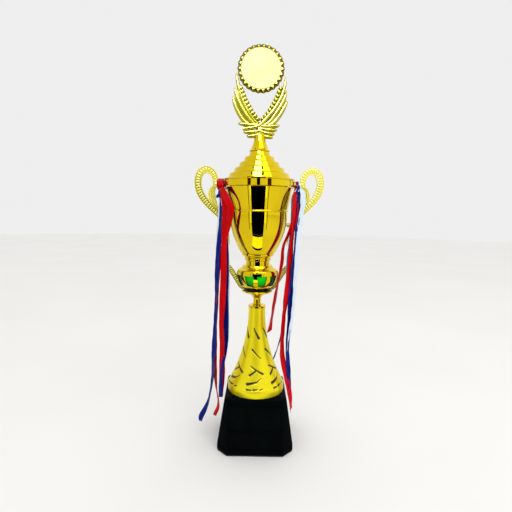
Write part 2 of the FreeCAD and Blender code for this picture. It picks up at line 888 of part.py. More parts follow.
def handle_pieces():
    body = new_body("handle_plate")
    add_plate(body, "handle_loop", handle_outline(), S.handle_half)
    leaf = new_body("leaf_plate")
    add_plate(leaf, "handle_leaf", leaf_outline(), S.handle_half * 0.7)
    near = S.rim_radius + 0.05
    reach = S.loop_near + S.loop_wide * 3 + 2.6 - S.rim_radius
    bar = cylinder("handle_bar", S.bar_radius, reach, (near, 0, S.bar_high), (1, 0, 0))
    boss = cylinder("handle_boss", S.boss_radius, OVERSHOOT, (S.boss_near, 0, S.boss_high), (1, 0, 0))
    holes = [
        cylinder(name, S.screw_hole, reach, (start - OVERSHOOT, 0, level), (1, 0, 0))
        for name, reach, start, level in (
            ("bar_hole", S.stud_reach + OVERSHOOT, near, S.bar_high),
            ("boss_hole", size_of(OVERSHOOT * 2), S.boss_near, S.boss_high),
        )
    ]
    right = cut("handle_right", fused("handle_blank", [body, leaf, bar, boss]), fused("handle_holes", holes))
    return [right, mirrored("handle_left", right), *handle_screws()]


# ---------------------------------------------------------------- ribbons


# Each colour is looped once round a handle's root, and its two tails hang in front. A tail is a list of
# levels: drop below the handle's bar, distance out from the middle, distance forward, width.
LEFT_TAILS = {
    "red": [
        [(5, 47, 12, 1.5), (12, 42.5, 20.5, 7), (50, 40.9, 22, 7), (96, 43.2, 20, 7),
         (170, 44.5, 18, 6.5), (241, 44.1, 16, 6.5), (278, 46.6, 15, 6.5)],
        [(5, 47, 9, 1.5), (18, 46.5, 14, 6), (68, 48.6, 16, 6), (139, 50.8, 14, 6),
         (202, 52.1, 12, 5), (264, 52, 11, 5), (300, 53.3, 11, 5)],
    ],
    "blue": [
        [(5, 48.7, 7, 1.5), (25, 48.2, 9.5, 5), (96, 50.8, 11, 5), (170, 52, 10, 5),
         (218, 55, 9, 5), (250, 56.4, 8.5, 4), (279, 60.5, 8, 3), (298, 69.4, 8, 5),
         (308, 71.7, 8, 4)],
        [(5, 48.7, 15, 1.5), (12, 41.5, 24, 7), (50, 39.4, 25.5, 6), (96, 39.5, 24, 5),
         (207, 38.8, 21, 5), (235, 44.6, 19.5, 5), (278, 46.6, 18.5, 5)],
    ],
    "white": [
        [(5, 50.3, 5.6, 1.5), (18, 49.5, 7, 4), (69, 51.1, 8, 3), (139, 52.4, 7.5, 4),
         (223, 54.7, 6.5, 4)],
        [(5, 50.3, 17.5, 1.5), (12, 40.1, 26.8, 6), (50, 37.4, 28, 5), (96, 37.3, 26.6, 4),
         (202, 37.6, 24, 4)],
    ],
}  # fmt: skip
RIGHT_TAILS = {
    "red": [
        [(5, 47, 11, 1.5), (18, 43.2, 19, 7), (69, 44.1, 20, 7), (88, 40.7, 19.5, 6),
         (144, 36.1, 18, 6.5), (211, 33, 16.5, 5.5), (236, 37.4, 16, 5.5), (267, 43.7, 15, 6),
         (291, 46.7, 14.5, 4)],
        [(5, 47, 13.5, 1.5), (18, 40.1, 23, 7), (56, 33.9, 22, 6), (78, 30.1, 20, 5),
         (127, 25.9, 18, 4), (169, 18.9, 14, 4), (186, 16.4, 13, 5)],
    ],
    "blue": [
        [(5, 48.7, 8, 1.5), (13, 49.1, 10, 4), (88, 45.2, 13, 4), (158, 41.9, 12.5, 5),
         (211, 40.1, 12, 5), (267, 45.3, 11, 4), (284, 46.7, 10.5, 3.5)],
        [(5, 48.7, 16, 1.5), (18, 41.6, 26.5, 6), (68, 39, 26, 5), (139, 33.6, 23, 4),
         (198, 30.4, 20, 3), (221, 23.3, 18.5, 3)],
    ],
    "white": [
        [(5, 50.3, 5.6, 1.5), (13, 54, 6.2, 6.5), (38, 51.9, 7.5, 6.5), (88, 49.3, 9.5, 5),
         (144, 46.8, 9, 4), (213, 44.4, 8, 3)],
        [(5, 50.3, 18.5, 1.5), (18, 42.4, 29.5, 5), (39, 40.8, 29.5, 5), (119, 38.5, 27, 4)],
    ],
}  # fmt: skip


def ribbon_tail(label, levels):
    """A thin strip lofted through flat sections, each (height, across, depth, width)."""
    body = new_body(label)
    half = S.ribbon_thick / 2
    sketches = []
    for i, (high, across, depth, wide) in enumerate(levels):
        across, depth, reach = size_of(across), size_of(depth), size_of(wide) / 2
        corners = [
            (across - reach, depth - half),
            (across + reach, depth - half),
            (across + reach, depth + half),
            (across - reach, depth + half),
        ]
        sketches.append(outline(body, f"{label}_level{i}", "XY_Plane", corners, lift=size_of(high)))
    loft = body.newObject("PartDesign::AdditiveLoft", label + "_loft")
    loft.Profile = sketches[0]
    loft.Sections = sketches[1:]
    loft.Ruled = True
    return body


def ribbon_pieces():
    nodes = []
    for side, name, tails in ((-1, "left", LEFT_TAILS), (1, "right", RIGHT_TAILS)):
        for place, (colour, pair) in enumerate(tails.items()):
            label = f"ribbon_{name}_{colour}"
            near = S.loop_near + S.loop_wide * place
            wide = S.loop_wide - 0.1
            start = near if side > 0 else -near - wide
            hoop = cylinder(label + "_hoop", S.loop_outer, wide, (start, 0, S.bar_high), (1, 0, 0))
            through, outside = wide + OVERSHOOT * 2, start - OVERSHOOT
            hole = cylinder(label + "_hole", S.loop_inner, through, (outside, 0, S.bar_high), (1, 0, 0))
            pieces = [cut(label + "_loop", hoop, hole)]
            middle = start + wide / 2
            front = (S.loop_outer + S.loop_inner) / 2
            for number, levels in enumerate(pair):
                top = [(S.bar_high, middle, -front, wide)]
                hanging = [
                    (S.bar_high - drop, side * across, -depth, width) for drop, across, depth, width in levels
                ]
                pieces.append(ribbon_tail(f"{label}_tail{number}", top + hanging))
            nodes.append(fused(label, pieces))
    return nodes


# ---------------------------------------------------------------- the whole cup, checked and written


def build():
    """Makes every node, and gives them as a list."""
    nodes = []
    for pieces in (
        plinth_pieces,
        rod_pieces,
        trumpet_pieces,
        lower_bowl_pieces,
        cup_piece,
        lid_pieces,
        finial_pieces,
        handle_pieces,
        ribbon_pieces,
    ):
        nodes += pieces()
    doc.recompute()
    return nodes


def check(nodes):
    """Stops before anything is written if a feature failed or a node isn't a valid solid."""
    failed = [thing.Name for thing in doc.Objects if {"Invalid", "Error"} & set(thing.State)]
    failed += [node.Label for node in nodes if node.Shape.isNull() or not node.Shape.isValid()]
    if failed:
        raise SystemExit(f"failed: {failed}")


parts = build()
check(parts)
os.makedirs("parts", exist_ok=True)
for part in parts:
    part.Shape.exportStep(f"parts/{part.Label}.step")
    print(part.Label, len(part.Shape.Solids), round(part.Shape.Volume, 1))
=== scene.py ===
"""Looks of the lidded cup trophy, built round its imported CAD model."""

import json
import math

import bmesh
import bpy
import numpy as np
from mathutils import Matrix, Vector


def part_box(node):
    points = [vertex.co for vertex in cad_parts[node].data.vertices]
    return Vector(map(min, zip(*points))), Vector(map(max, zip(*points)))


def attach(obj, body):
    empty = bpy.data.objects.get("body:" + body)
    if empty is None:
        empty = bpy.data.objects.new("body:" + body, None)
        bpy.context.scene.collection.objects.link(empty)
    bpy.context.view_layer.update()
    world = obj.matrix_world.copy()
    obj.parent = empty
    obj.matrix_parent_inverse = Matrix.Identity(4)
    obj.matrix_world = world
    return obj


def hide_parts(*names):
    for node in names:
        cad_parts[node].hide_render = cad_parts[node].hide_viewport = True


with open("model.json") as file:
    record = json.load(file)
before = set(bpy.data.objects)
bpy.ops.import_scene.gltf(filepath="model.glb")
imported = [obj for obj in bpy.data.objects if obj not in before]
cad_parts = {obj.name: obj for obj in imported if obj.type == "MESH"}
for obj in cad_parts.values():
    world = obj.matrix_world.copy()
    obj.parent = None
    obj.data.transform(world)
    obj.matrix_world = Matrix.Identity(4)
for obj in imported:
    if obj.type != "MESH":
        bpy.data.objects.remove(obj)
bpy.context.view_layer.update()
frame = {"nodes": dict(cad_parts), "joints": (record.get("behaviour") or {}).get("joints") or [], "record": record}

# The trophy's sizes are in mm, in the frame's own axes. The studio's and the camera's are in metres.
MM = 0.001
CREASE = math.radians(32)
MIN_HALF = 0.25

# ---------------------------------------------------------------- shapes


def smooth_path(points, count):
    """Rows evenly spaced along a smooth curve through the given ones.

    The first two or three columns are the place, and any after the third are carried along.
    """
    rows = np.array(points, float)
    ends = np.vstack([2 * rows[0] - rows[1], rows, 2 * rows[-1] - rows[-2]])
    fine = []
    for a, b, c, d in zip(ends, ends[1:], ends[2:], ends[3:]):
        for t in np.linspace(0, 1, 24, endpoint=False):
            slope, curve = (c - a) * t, (2 * a - 5 * b + 4 * c - d) * t**2
            fine.append((2 * b + slope + curve + (3 * b - a - 3 * c + d) * t**3) / 2)
    fine = np.array(fine + [rows[-1]])
    space = fine[:, : min(3, fine.shape[1])]
    gone = np.concatenate([[0], np.cumsum(np.linalg.norm(np.diff(space, axis=0), axis=1))])
    places = np.linspace(0, gone[-1], count)
    return np.stack([np.interp(places, gone, column) for column in fine.T], 1)


def unit(vectors):
    return vectors / np.maximum(np.linalg.norm(vectors, axis=-1, keepdims=True), 1e-12)


def lofted(rings, dark=None, ends=True, closed=False):
    """A mesh through rings of points. dark is the painted shade at each point, from 0 to 1, for how deep it lies
    between raised parts.
    """
    count, around = rings.shape[:2]
    i = np.arange(count if closed else count - 1)[:, None] * around
    j = np.arange(around)[None, :]
    k = (j + 1) % around
    up = (i + around) % (count * around)
    faces = np.stack([i + j, i + k, up + k, up + j], -1).reshape(-1, 4).tolist()
    if ends and not closed:
        faces += [list(range(around)), list(range((count - 1) * around, count * around))]
    dark = np.zeros(count * around) if dark is None else dark.reshape(-1)
    return rings.reshape(-1, 3), faces, dark


def joined(shapes):
    """Several meshes as one."""
    points, faces, dark, start = [], [], [], 0
    for shape in shapes:
        points.append(shape[0])
        faces += [[start + v for v in face] for face in shape[1]]
        dark.append(shape[2])
        start += len(shape[0])
    return np.vstack(points), faces, np.concatenate(dark)


def mirrored(shape):
    """The same mesh on the other side of the YZ plane."""
    points = shape[0].copy()
    points[:, 0] *= -1
    return points, shape[1], shape[2]


def band(path, half_wide, half_thick, depth=0.0, across=13):
    """A solid strip along a path in the XZ plane.

    half_wide holds the half width at each path point. half_thick(along, across) gives the half thickness
    and the painted shade, for the length gone and for -1 to 1 across. depth moves the strip in Y.
    """
    direction = unit(np.gradient(path, axis=0))
    side = np.stack([-direction[:, 1], direction[:, 0]], 1)
    gone = np.concatenate([[0], np.cumsum(np.linalg.norm(np.diff(path, axis=0), axis=1))])
    share = np.sin(np.linspace(-math.pi / 2, math.pi / 2, across))
    along, t = np.meshgrid(gone, share, indexing="ij")
    thick, dark = half_thick(along, t)
    flat = path[:, None, :] + side[:, None, :] * (half_wide[:, None] * t)[:, :, None]
    middle = np.broadcast_to(np.reshape(depth, (-1, 1)), thick.shape)
    near = np.stack([flat[..., 0], middle - thick, flat[..., 1]], -1)
    far = np.stack([flat[..., 0], middle + thick, flat[..., 1]], -1)
    rings = np.concatenate([near, far[:, ::-1]], 1)
    return lofted(rings, np.concatenate([dark, dark[:, ::-1]], 1))


def along_shares(pairs, count):
    """A value at each of count evenly spaced places, through (share of the length, value) pairs."""
    shares, values = zip(*pairs)
    return np.interp(np.linspace(0, 1, count), shares, values)


def rib(points, widths, thick, depth=0.0, count=70):
    """A rib through points (x, z), rounded on both faces, with painted shade along its edges."""
    path = smooth_path(points, count)
    half = along_shares(widths, count)
    full = half / half.max()

    def section(along, t):
        rounded = np.sqrt(np.maximum(1 - t**2, 0.0))
        # Painted shade, growing towards the rib's edges.
        return MIN_HALF + thick * np.sqrt(full)[:, None] * rounded, np.abs(t) ** 5 * 0.95

    return band(path, half, section, depth)


def leaf(points, widths, thick, leaflet, depth=0.0, count=260):
    """A serrated leaf strip with slanted leaflets either side of its middle, and painted shade between the
    leaflets.
    """
    path = smooth_path(points, count)
    gone = np.concatenate([[0], np.cumsum(np.linalg.norm(np.diff(path, axis=0), axis=1))])
    saw = gone / leaflet % 1.0
    half = along_shares(widths, count) * (1.0 - 0.34 * saw**1.5)

    def section(along, t):
        place = (along / leaflet - 0.55 * np.abs(t)) % 1.0
        swell = np.sin(math.pi * place) ** 0.6
        spine = np.exp(-((t / 0.16) ** 2))
        edge = np.sqrt(np.maximum(1 - t**4, 0.0))
        height = MIN_HALF + thick * edge * (0.35 + 0.65 * np.maximum(swell, spine))
        # Painted shade in the dips between leaflets, lighter along the spine.
        return height, np.clip(1.5 - 1.7 * swell, 0, 1) * (1 - 0.7 * spine)

    return band(path, half, section, depth, across=17)


def turned(profile, around=144, relief=None, axis="z", place=(0, 0, 0)):
    """A closed mesh turned about an axis through place, from (radius, height) pairs.

    relief(angle, height, radius) gives how much the surface moves out and how much painted shade it gets.
    """
    radius, height = np.array(profile, float).T
    angle = np.linspace(-math.pi, math.pi, around, endpoint=False)
    r, a = np.meshgrid(radius, angle, indexing="ij")
    h = np.repeat(height[:, None], around, 1)
    dark = np.zeros_like(r)
    if relief:
        out, dark = relief(a, h, r)
        r = r + out
    x, y = r * np.sin(a), -r * np.cos(a)
    rings = np.stack([x, y, h] if axis == "z" else [h, x, y], -1)
    return lofted(rings + np.array(place), dark)


# ---------------------------------------------------------------- pieces


def add_piece(name, shape, body, slot, replaces=(), crease=CREASE):
    """Makes a piece from a mesh in mm, gives it its material, and lets it ride on a CAD body."""
    points, faces, dark = shape
    mesh = bpy.data.meshes.new(name)
    mesh.from_pydata((points * MM).tolist(), [], faces)
    work = bmesh.new()
    work.from_mesh(mesh)
    bmesh.ops.recalc_face_normals(work, faces=work.faces)
    work.to_mesh(mesh)
    work.free()
    mesh.shade_smooth()
    mesh.set_sharp_from_angle(angle=crease)
    # Each point's painted shade, which the gold materials blend in as near-black colour.
    mesh.attributes.new("recess", "FLOAT", "POINT").data.foreach_set("value", dark.astype(np.float32))
    mesh.materials.append(LOOKS[slot])
    piece = bpy.data.objects.new(name, mesh)
    bpy.context.scene.collection.objects.link(piece)
    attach(piece, body)
    if replaces:
        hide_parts(*replaces)
    return piece


def box_mm(node):
    """A CAD node's lowest and highest corners, in mm."""
    low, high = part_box(node)
    return np.array(low) / MM, np.array(high) / MM


# ---------------------------------------------------------------- materials


def shader_nodes(name):
    """A new material, its node tree's add function, its links and its shader."""
    material = bpy.data.materials.new(name)
    material.use_nodes = True
    tree = material.node_tree
    return material, tree.nodes.new, tree.links.new, tree.nodes["Principled BSDF"]


def noise(add, link, scale, detail=4.0, stretch=(1, 1, 1)):
    """A noise value over the object's own coordinates, scale in waves per metre."""
    place = add("ShaderNodeTexCoord")
    mapping = add("ShaderNodeMapping")
    texture = add("ShaderNodeTexNoise")
    mapping.inputs["Scale"].default_value = stretch
    texture.inputs["Scale"].default_value = scale
    texture.inputs["Detail"].default_value = detail
    link(place.outputs["Object"], mapping.inputs["Vector"])
    link(mapping.outputs["Vector"], texture.inputs["Vector"])
    return texture.outputs["Fac"]


def ranged(add, link, value, low, high, start=0.3, end=0.7):
    """The value's span from start to end mapped to low to high."""
    node = add("ShaderNodeMapRange")
    for name, number in (("From Min", start), ("From Max", end), ("To Min", low), ("To Max", high)):
        node.inputs[name].default_value = number
    link(value, node.inputs["Value"])
    return node.outputs["Result"]


def blended(add, link, share, first, second):
    """A mix of two colours, each a colour or a socket, by share."""
    mix = add("ShaderNodeMix")
    mix.data_type = "RGBA"
    link(share, mix.inputs["Factor"])
    for name, colour in (("A", first), ("B", second)):
        socket = next(s for s in mix.inputs if s.name == name and s.type == "RGBA")
        if isinstance(colour, tuple):
            socket.default_value = (*colour, 1.0)
        else:
            link(colour, socket)
    return next(s for s in mix.outputs if s.type == "RGBA")


def bumped(add, link, shader, height, strength, distance):
    """Lets a height value bump the shader's surface."""
    bump = add("ShaderNodeBump")
    bump.inputs["Strength"].default_value = strength
    bump.inputs["Distance"].default_value = distance
    link(height, bump.inputs["Height"])
    link(bump.outputs["Normal"], shader.inputs["Normal"])


def recess(add):
    """The painted shade on the surface, deepest in its hollows, as each piece's mesh says."""
    node = add("ShaderNodeAttribute")
    node.attribute_name = "recess"
    return node.outputs["Fac"]


def gold(name, pale, deep, rough, unevenness, metallic=1.0, coat=0.0, specular=0.5):
    """Yellow plated gold from pale to deep in patches, with painted shade, nearly black, in its hollows."""
    material, add, link, shader = shader_nodes(name)
    patches = ranged(add, link, noise(add, link, 38.0), 0.0, 1.0)
    colour = blended(add, link, patches, pale, deep)
    # Painted shade: the colour goes nearly black where the mesh marks a point as lying deep.
    link(blended(add, link, recess(add), colour, (0.02, 0.015, 0.001)), shader.inputs["Base Color"])
    link(ranged(add, link, noise(add, link, 160.0), *rough), shader.inputs["Roughness"])
    shader.inputs["Metallic"].default_value = metallic
    shader.inputs["Coat Weight"].default_value = coat
    shader.inputs["Specular IOR Level"].default_value = specular
    bumped(add, link, shader, noise(add, link, 90.0, 2.0), 0.3, unevenness)
    return material


def plain(name, first, second, scale, rough, grain, strength, metallic=0.0, specular=0.5):
    """A surface whose colour, roughness and height all vary with noise."""
    material, add, link, shader = shader_nodes(name)
    patches = ranged(add, link, noise(add, link, scale), 0.0, 1.0)
    link(blended(add, link, patches, first, second), shader.inputs["Base Color"])
    link(ranged(add, link, noise(add, link, scale * 2.3), *rough), shader.inputs["Roughness"])
    shader.inputs["Metallic"].default_value = metallic
    shader.inputs["Specular IOR Level"].default_value = specular
    bumped(add, link, shader, noise(add, link, grain), strength, 0.0002)
    return material


def gem():
    """Green plastic with painted light: bright where it faces the viewer, nearly black at a slant, and a painted
    shadow, nearly black, at its foot.
    """
    material, add, link, shader = shader_nodes("green_gem")
    # Painted light: the green is bright where the surface faces the viewer and nearly black at a slant.
    facing = add("ShaderNodeLayerWeight")
    facing.inputs["Blend"].default_value = 0.5
    bright = ranged(add, link, facing.outputs["Facing"], 1.0, 0.0, 0.08, 0.42)
    colour = blended(add, link, bright, (0.002, 0.035, 0.004), (0.0, 0.62, 0.004))
    place = add("ShaderNodeTexCoord")
    split = add("ShaderNodeSeparateXYZ")
    link(place.outputs["Object"], split.inputs["Vector"])
    foot = box_mm("gem_liner")[0][2]
    # Painted shadow: nearly black at the liner's foot.
    low = ranged(add, link, split.outputs["Z"], 1.0, 0.0, (foot + 4.6) * MM, (foot + 5.4) * MM)
    link(blended(add, link, low, colour, (0.003, 0.006, 0.002)), shader.inputs["Base Color"])
    link(ranged(add, link, noise(add, link, 300.0), 0.08, 0.2), shader.inputs["Roughness"])
    shader.inputs["Specular IOR Level"].default_value = 0.12
    facets = add("ShaderNodeTexVoronoi")
    facets.inputs["Scale"].default_value = 700.0
    link(place.outputs["Object"], facets.inputs["Vector"])
    bumped(add, link, shader, facets.outputs["Distance"], 0.25, 0.0004)
    return material


def satin(name, colour, shade):
    """Satin ribbon: fine cross threads, and softer, with painted shade in long random streaks that stand in for
    its folds.
    """
    material, add, link, shader = shader_nodes(name)
    strip = add("ShaderNodeAttribute")
    strip.attribute_name = "strip"
    threads = add("ShaderNodeTexWave")
    threads.inputs["Scale"].default_value = 900.0
    threads.inputs["Distortion"].default_value = 0.6
    link(strip.outputs["Vector"], threads.inputs["Vector"])
    patches = ranged(add, link, noise(add, link, 120.0, stretch=(1, 1, 0.3)), 0.0, 1.0)
    # Painted shade: the shade colour in random streaks that run along the ribbon.
    link(blended(add, link, patches, colour, shade), shader.inputs["Base Color"])
    link(ranged(add, link, noise(add, link, 400.0), 0.26, 0.4), shader.inputs["Roughness"])
    shader.inputs["Specular IOR Level"].default_value = 0.05
    shader.inputs["Anisotropic"].default_value = 0.6
    bumped(add, link, shader, threads.outputs["Fac"], 0.2, 0.00006)
    return material


GOLD_PALE, GOLD_DEEP = (0.77, 0.57, 0.003), (0.70, 0.50, 0.002)
SATIN_PALE, SATIN_DEEP = (0.86, 0.74, 0.012), (0.80, 0.67, 0.01)
# The handles' and arms' satin gold, paler than the rest: its paleness is partly a painted highlight.
BRIGHT_PALE, BRIGHT_DEEP = (0.93, 0.86, 0.16), (0.87, 0.79, 0.11)
LEMON_PALE, LEMON_DEEP = (0.60, 0.56, 0.04), (0.53, 0.49, 0.03)
LOOKS = {
    "gold_metal": gold("gold_metal", GOLD_PALE, GOLD_DEEP, (0.015, 0.035), 0.00003, coat=0.14),
    "gold_plastic": gold("gold_plastic", GOLD_PALE, GOLD_DEEP, (0.05, 0.12), 0.00006, coat=0.12),
    "gold_satin": gold(
        "gold_satin", SATIN_PALE, SATIN_DEEP, (0.3, 0.36), 0.00002, metallic=0.45, specular=0.08
    ),
    "gold_bright": gold("gold_bright", BRIGHT_PALE, BRIGHT_DEEP, (0.2, 0.28), 0.00003, metallic=0.25),
    "gold_lemon": gold("gold_lemon", LEMON_PALE, LEMON_DEEP, (0.1, 0.18), 0.00003),
    "black_plastic": plain(
        "black_plastic",
        (0.0010, 0.0016, 0.0020),
        (0.0018, 0.0026, 0.0032),
        60.0,
        (0.05, 0.1),
        240.0,
        0.03,
        specular=0.008,
    ),
    "green_gem": gem(),
    "medal_foil": plain(
        "medal_foil", (0.98, 0.93, 0.42), (0.95, 0.88, 0.34), 50.0, (0.4, 0.55), 900.0, 0.1, specular=0.1
    ),
    "felt": plain("felt", (0.02, 0.02, 0.02), (0.045, 0.045, 0.045), 900.0, (0.9, 1.0), 2500.0, 0.8),
    "ballast": plain("ballast", (0.46, 0.45, 0.42), (0.36, 0.35, 0.33), 200.0, (0.8, 0.95), 700.0, 0.5),
    "cover_board": plain(
        "cover_board", (0.27, 0.19, 0.12), (0.18, 0.12, 0.07), 150.0, (0.7, 0.9), 900.0, 0.4
    ),
    "steel": plain(
        "steel", (0.62, 0.62, 0.64), (0.5, 0.5, 0.52), 300.0, (0.25, 0.4), 900.0, 0.2, metallic=1.0
    ),
    "ribbon_red": satin("ribbon_red", (0.60, 0.0, 0.002), (0.40, 0.0, 0.001)),
    "ribbon_blue": satin("ribbon_blue", (0.0015, 0.012, 0.19), (0.001, 0.006, 0.11)),
    "ribbon_white": satin("ribbon_white", (0.68, 0.78, 0.86), (0.60, 0.71, 0.82)),
}
for node in frame["nodes"].values():
    own = next(row["material_slot"] for row in frame["record"]["subparts"] if row["node"] == node.name)
    node.data.materials.clear()
    node.data.materials.append(LOOKS[own])

# ---------------------------------------------------------------- plinth


def octagon_ring(half, flat, height, corner=1.6):
    """Points round a square with cut corners, each of its eight corners rounded."""
    ends = [(flat, -half), (half, -flat), (half, flat), (flat, half)]
    ends += [(-x, -y) for x, y in ends]
    ring = []
    for before, here, after in zip(ends[-1:] + ends[:-1], ends, ends[1:] + ends[:1]):
        here, before, after = np.array(here), np.array(before), np.array(after)
        start, end = here + unit(before - here) * corner, here + unit(after - here) * corner
        for t in np.linspace(0, 1, 6):
            ring.append((1 - t) ** 2 * start + 2 * t * (1 - t) * here + t**2 * end)
    flat_ring = np.array(ring)
    return np.column_stack([flat_ring, np.full(len(flat_ring), height)])


PLINTH_LEAN = 9.1
PLINTH_CUT = 13.1
PLINTH_BAND = 7.3
PLINTH_WALL = 2.6
PLINTH_DECK = 4.0
PLINTH_BORE = 12.0


def plinth():
    """The black moulded plinth, hollow below, with a foot band and softly rounded edges."""
    low, high = box_mm("plinth_shell")
    foot, top_half, flat = high[0], high[0] - PLINTH_LEAN, high[0] - PLINTH_CUT
    base, top, band_top = low[2], high[2], low[2] + PLINTH_BAND

    def side(height):
        return foot + (top_half - foot) * (height - band_top) / (top - band_top)

    levels = [(base, foot - 0.6), (base + 0.6, foot), (band_top - 0.7, foot), (band_top, foot - 0.5)]
    levels += [(band_top + 0.1, foot - 1.2), (band_top + 0.9, side(band_top + 0.9))]
    levels += [(height, side(height)) for height in np.linspace(band_top + 4, top - 2.4, 8)]
    levels += [(top - 1.2, side(top) - 0.1), (top - 0.4, side(top) - 0.7), (top, side(top) - 1.8)]
    levels += [(top, PLINTH_BORE), (top - PLINTH_DECK, PLINTH_BORE)]
    levels += [(top - PLINTH_DECK, side(top) - PLINTH_WALL - 1.0)]
    levels += [(band_top, foot - PLINTH_WALL - 1.2), (base, foot - PLINTH_WALL)]
    rings = []
    for height, half in levels:
        inner = min(flat, half - 3.0) if half > 20 else half * 0.6
        rings.append(octagon_ring(half, inner, height))
    shape = lofted(np.array(rings), closed=True)
    add_piece("plinth_moulding", shape, "trophy", "black_plastic", ["plinth_shell"])


# ---------------------------------------------------------------- trumpet column

TRUMPET_BEND = 199.0
TRUMPET_NECK = 10.8
TRUMPET_LIP = 9.3
TRUMPET_WALL = 1.8
TRUMPET_COLUMNS = 6
STROKE_DEEP = 0.7
# The embossed strokes of one column: their ends as (degrees, height share), then the half widths there.
TRUMPET_STROKES = [
    ((-16, 0.76), (12, 0.645), 0.8, 1.9),
    ((-17, 0.515), (17, 0.42), 1.5, 0.5),
    ((-17, 0.335), (19, 0.255), 0.9, 1.4),
    ((-17, 0.24), (-2, 0.285), 1.5, 1.2),
    ((-20, 0.15), (2, 0.175), 1.9, 1.1),
    ((2, 0.175), (14, 0.215), 0.8, 0.4),
    ((-19, 0.097), (-9, 0.097), 1.2, 0.7),
    ((-5, 0.099), (3, 0.104), 1.3, 0.7),
    ((9, 0.1), (15, 0.108), 0.8, 0.5),
]


def trumpet_relief(angle, height, radius):
    """Slanted strokes pressed into the column, in repeated columns round it, each painted dark with shade."""
    low, high = box_mm("trumpet")[0][2], box_mm("trumpet")[1][2]
    turn = 2 * math.pi / TRUMPET_COLUMNS
    own = (angle + turn / 2) % turn - turn / 2
    groove = np.zeros_like(height)
    for (first, start), (second, end), wide, narrow in TRUMPET_STROKES:
        x, z = own * radius, height
        ax, az = math.radians(first) * radius, low + start * (high - low)
        bx, bz = math.radians(second) * radius, low + end * (high - low)
        long = (bx - ax) ** 2 + (bz - az) ** 2
        t = np.clip(((x - ax) * (bx - ax) + (z - az) * (bz - az)) / long, 0, 1)
        gap = np.hypot(x - ax - t * (bx - ax), z - az - t * (bz - az))
        groove = np.maximum(groove, np.exp(-((gap / (wide + (narrow - wide) * t)) ** 4)))
    # Painted shade, darkest along the middle of each stroke.
    return -STROKE_DEEP * groove, groove


def trumpet():
    """The embossed column: a straight foot, one long concave curve up to the neck, and a hollow inside."""
    low, high = box_mm("trumpet")
    foot, neck, base, top = high[0], TRUMPET_NECK, low[2], high[2]
    start, end = np.array([foot - 0.6, base + TRUMPET_LIP]), np.array([neck, top])
    chord, middle = end - start, (start + end) / 2
    sagitta = math.sqrt(TRUMPET_BEND**2 - (np.linalg.norm(chord) / 2) ** 2)
    centre = middle + unit(np.array([chord[1], -chord[0]])) * sagitta
    angles = [math.atan2(*(point - centre)[::-1]) % (2 * math.pi) for point in (start, end)]
    profile = [(foot - 1.6, base), (foot, base), (foot, base + 4.5), (foot + 0.1, base + 7.0)]
    for angle in np.linspace(*angles, 190):
        profile.append(tuple(centre + TRUMPET_BEND * np.array([math.cos(angle), math.sin(angle)])))
    outer = len(profile)
    inner = [(radius - TRUMPET_WALL, height) for radius, height in profile[outer - 2 : 4 : -12]]
    profile += [(neck - 1.6, top), (neck - 1.6, top - 6), *inner, (foot - 2.4, base)]

    def relief(angle, height, radius):
        inside = np.arange(len(height))[:, None] >= outer
        out, dark = trumpet_relief(angle, height, radius)
        return np.where(inside, 0.0, out), np.where(inside, 0.0, dark)

    shape = turned(profile, 480, relief)
    piece = add_piece("trumpet_embossed", shape, "trophy", "gold_plastic", ["trumpet"], math.radians(50))
    piece.data.materials[0] = LOOKS["gold_satin"]


# ---------------------------------------------------------------- handles


def beads(period, floor, top, deep):
    """The section of a band with a rail along each edge and a row of rounded beads between them. deep(along) sets
    the painted shade in the gaps.
    """

    def section(along, t):
        share = (along / period % 1.0) * 2 - 1
        round_along = np.sqrt(np.maximum(1 - np.abs(share / 0.86) ** 2.6, 0.0))
        round_across = np.sqrt(np.maximum(1 - np.abs(t / 0.66) ** 3, 0.0))
        bead = round_along * round_across
        rail = np.exp(-(((np.abs(t) - 0.86) / 0.12) ** 4))
        edge = np.where(np.abs(t) > 0.985, 0.55, 1.0)
        height = (floor + (top - floor) * np.maximum(bead, rail * 0.85)) * edge
        # Painted shade between the beads and rails, scaled by deep(along).
        return height, np.clip(1 - 2.5 * np.maximum(bead, rail), 0, 1) * deep(along)

    return section


def handle_scroll(centre, shade):
    """The curling band of beads. shade is how dark the painted shade in the gaps between them is."""
    loop = [(-11, -7.0), (-11.2, 1.5), (-7.6, 11.0), (0, 14.8), (7.8, 10.9), (11.0, 0), (9.3, -11)]
    loop += [(4.2, -20.8), (-4.3, -31), (-14.5, -40.5), (-20.6, -47)]
    path = smooth_path(np.array(loop) + centre, 420)
    widths = [(0, 3.0), (0.12, 3.8), (0.26, 4.6), (0.6, 4.6), (0.85, 3.6), (1, 3.2)]

    def deep(along):
        # Painted shade in the gaps: faint near the start of the curl, full further along.
        return shade * np.clip(along / 25 - 1.2, 0.1, 1)

    section = beads(3.3, 2.6 - 1.3 * shade, 2.9, deep)
    return band(path, along_shares(widths, len(path)), section, across=21)


def handle_tail(centre):
    """The thin end of the handle, which runs down beside the cup."""
    points = [(-19.4, -45), (-23.6, -53), (-26.4, -62), (-28.2, -71), (-29.2, -79.6)]
    return rib(np.array(points) + centre, [(0, 3.2), (0.3, 2.2), (0.8, 1.0), (1, 0.25)], 2.2)


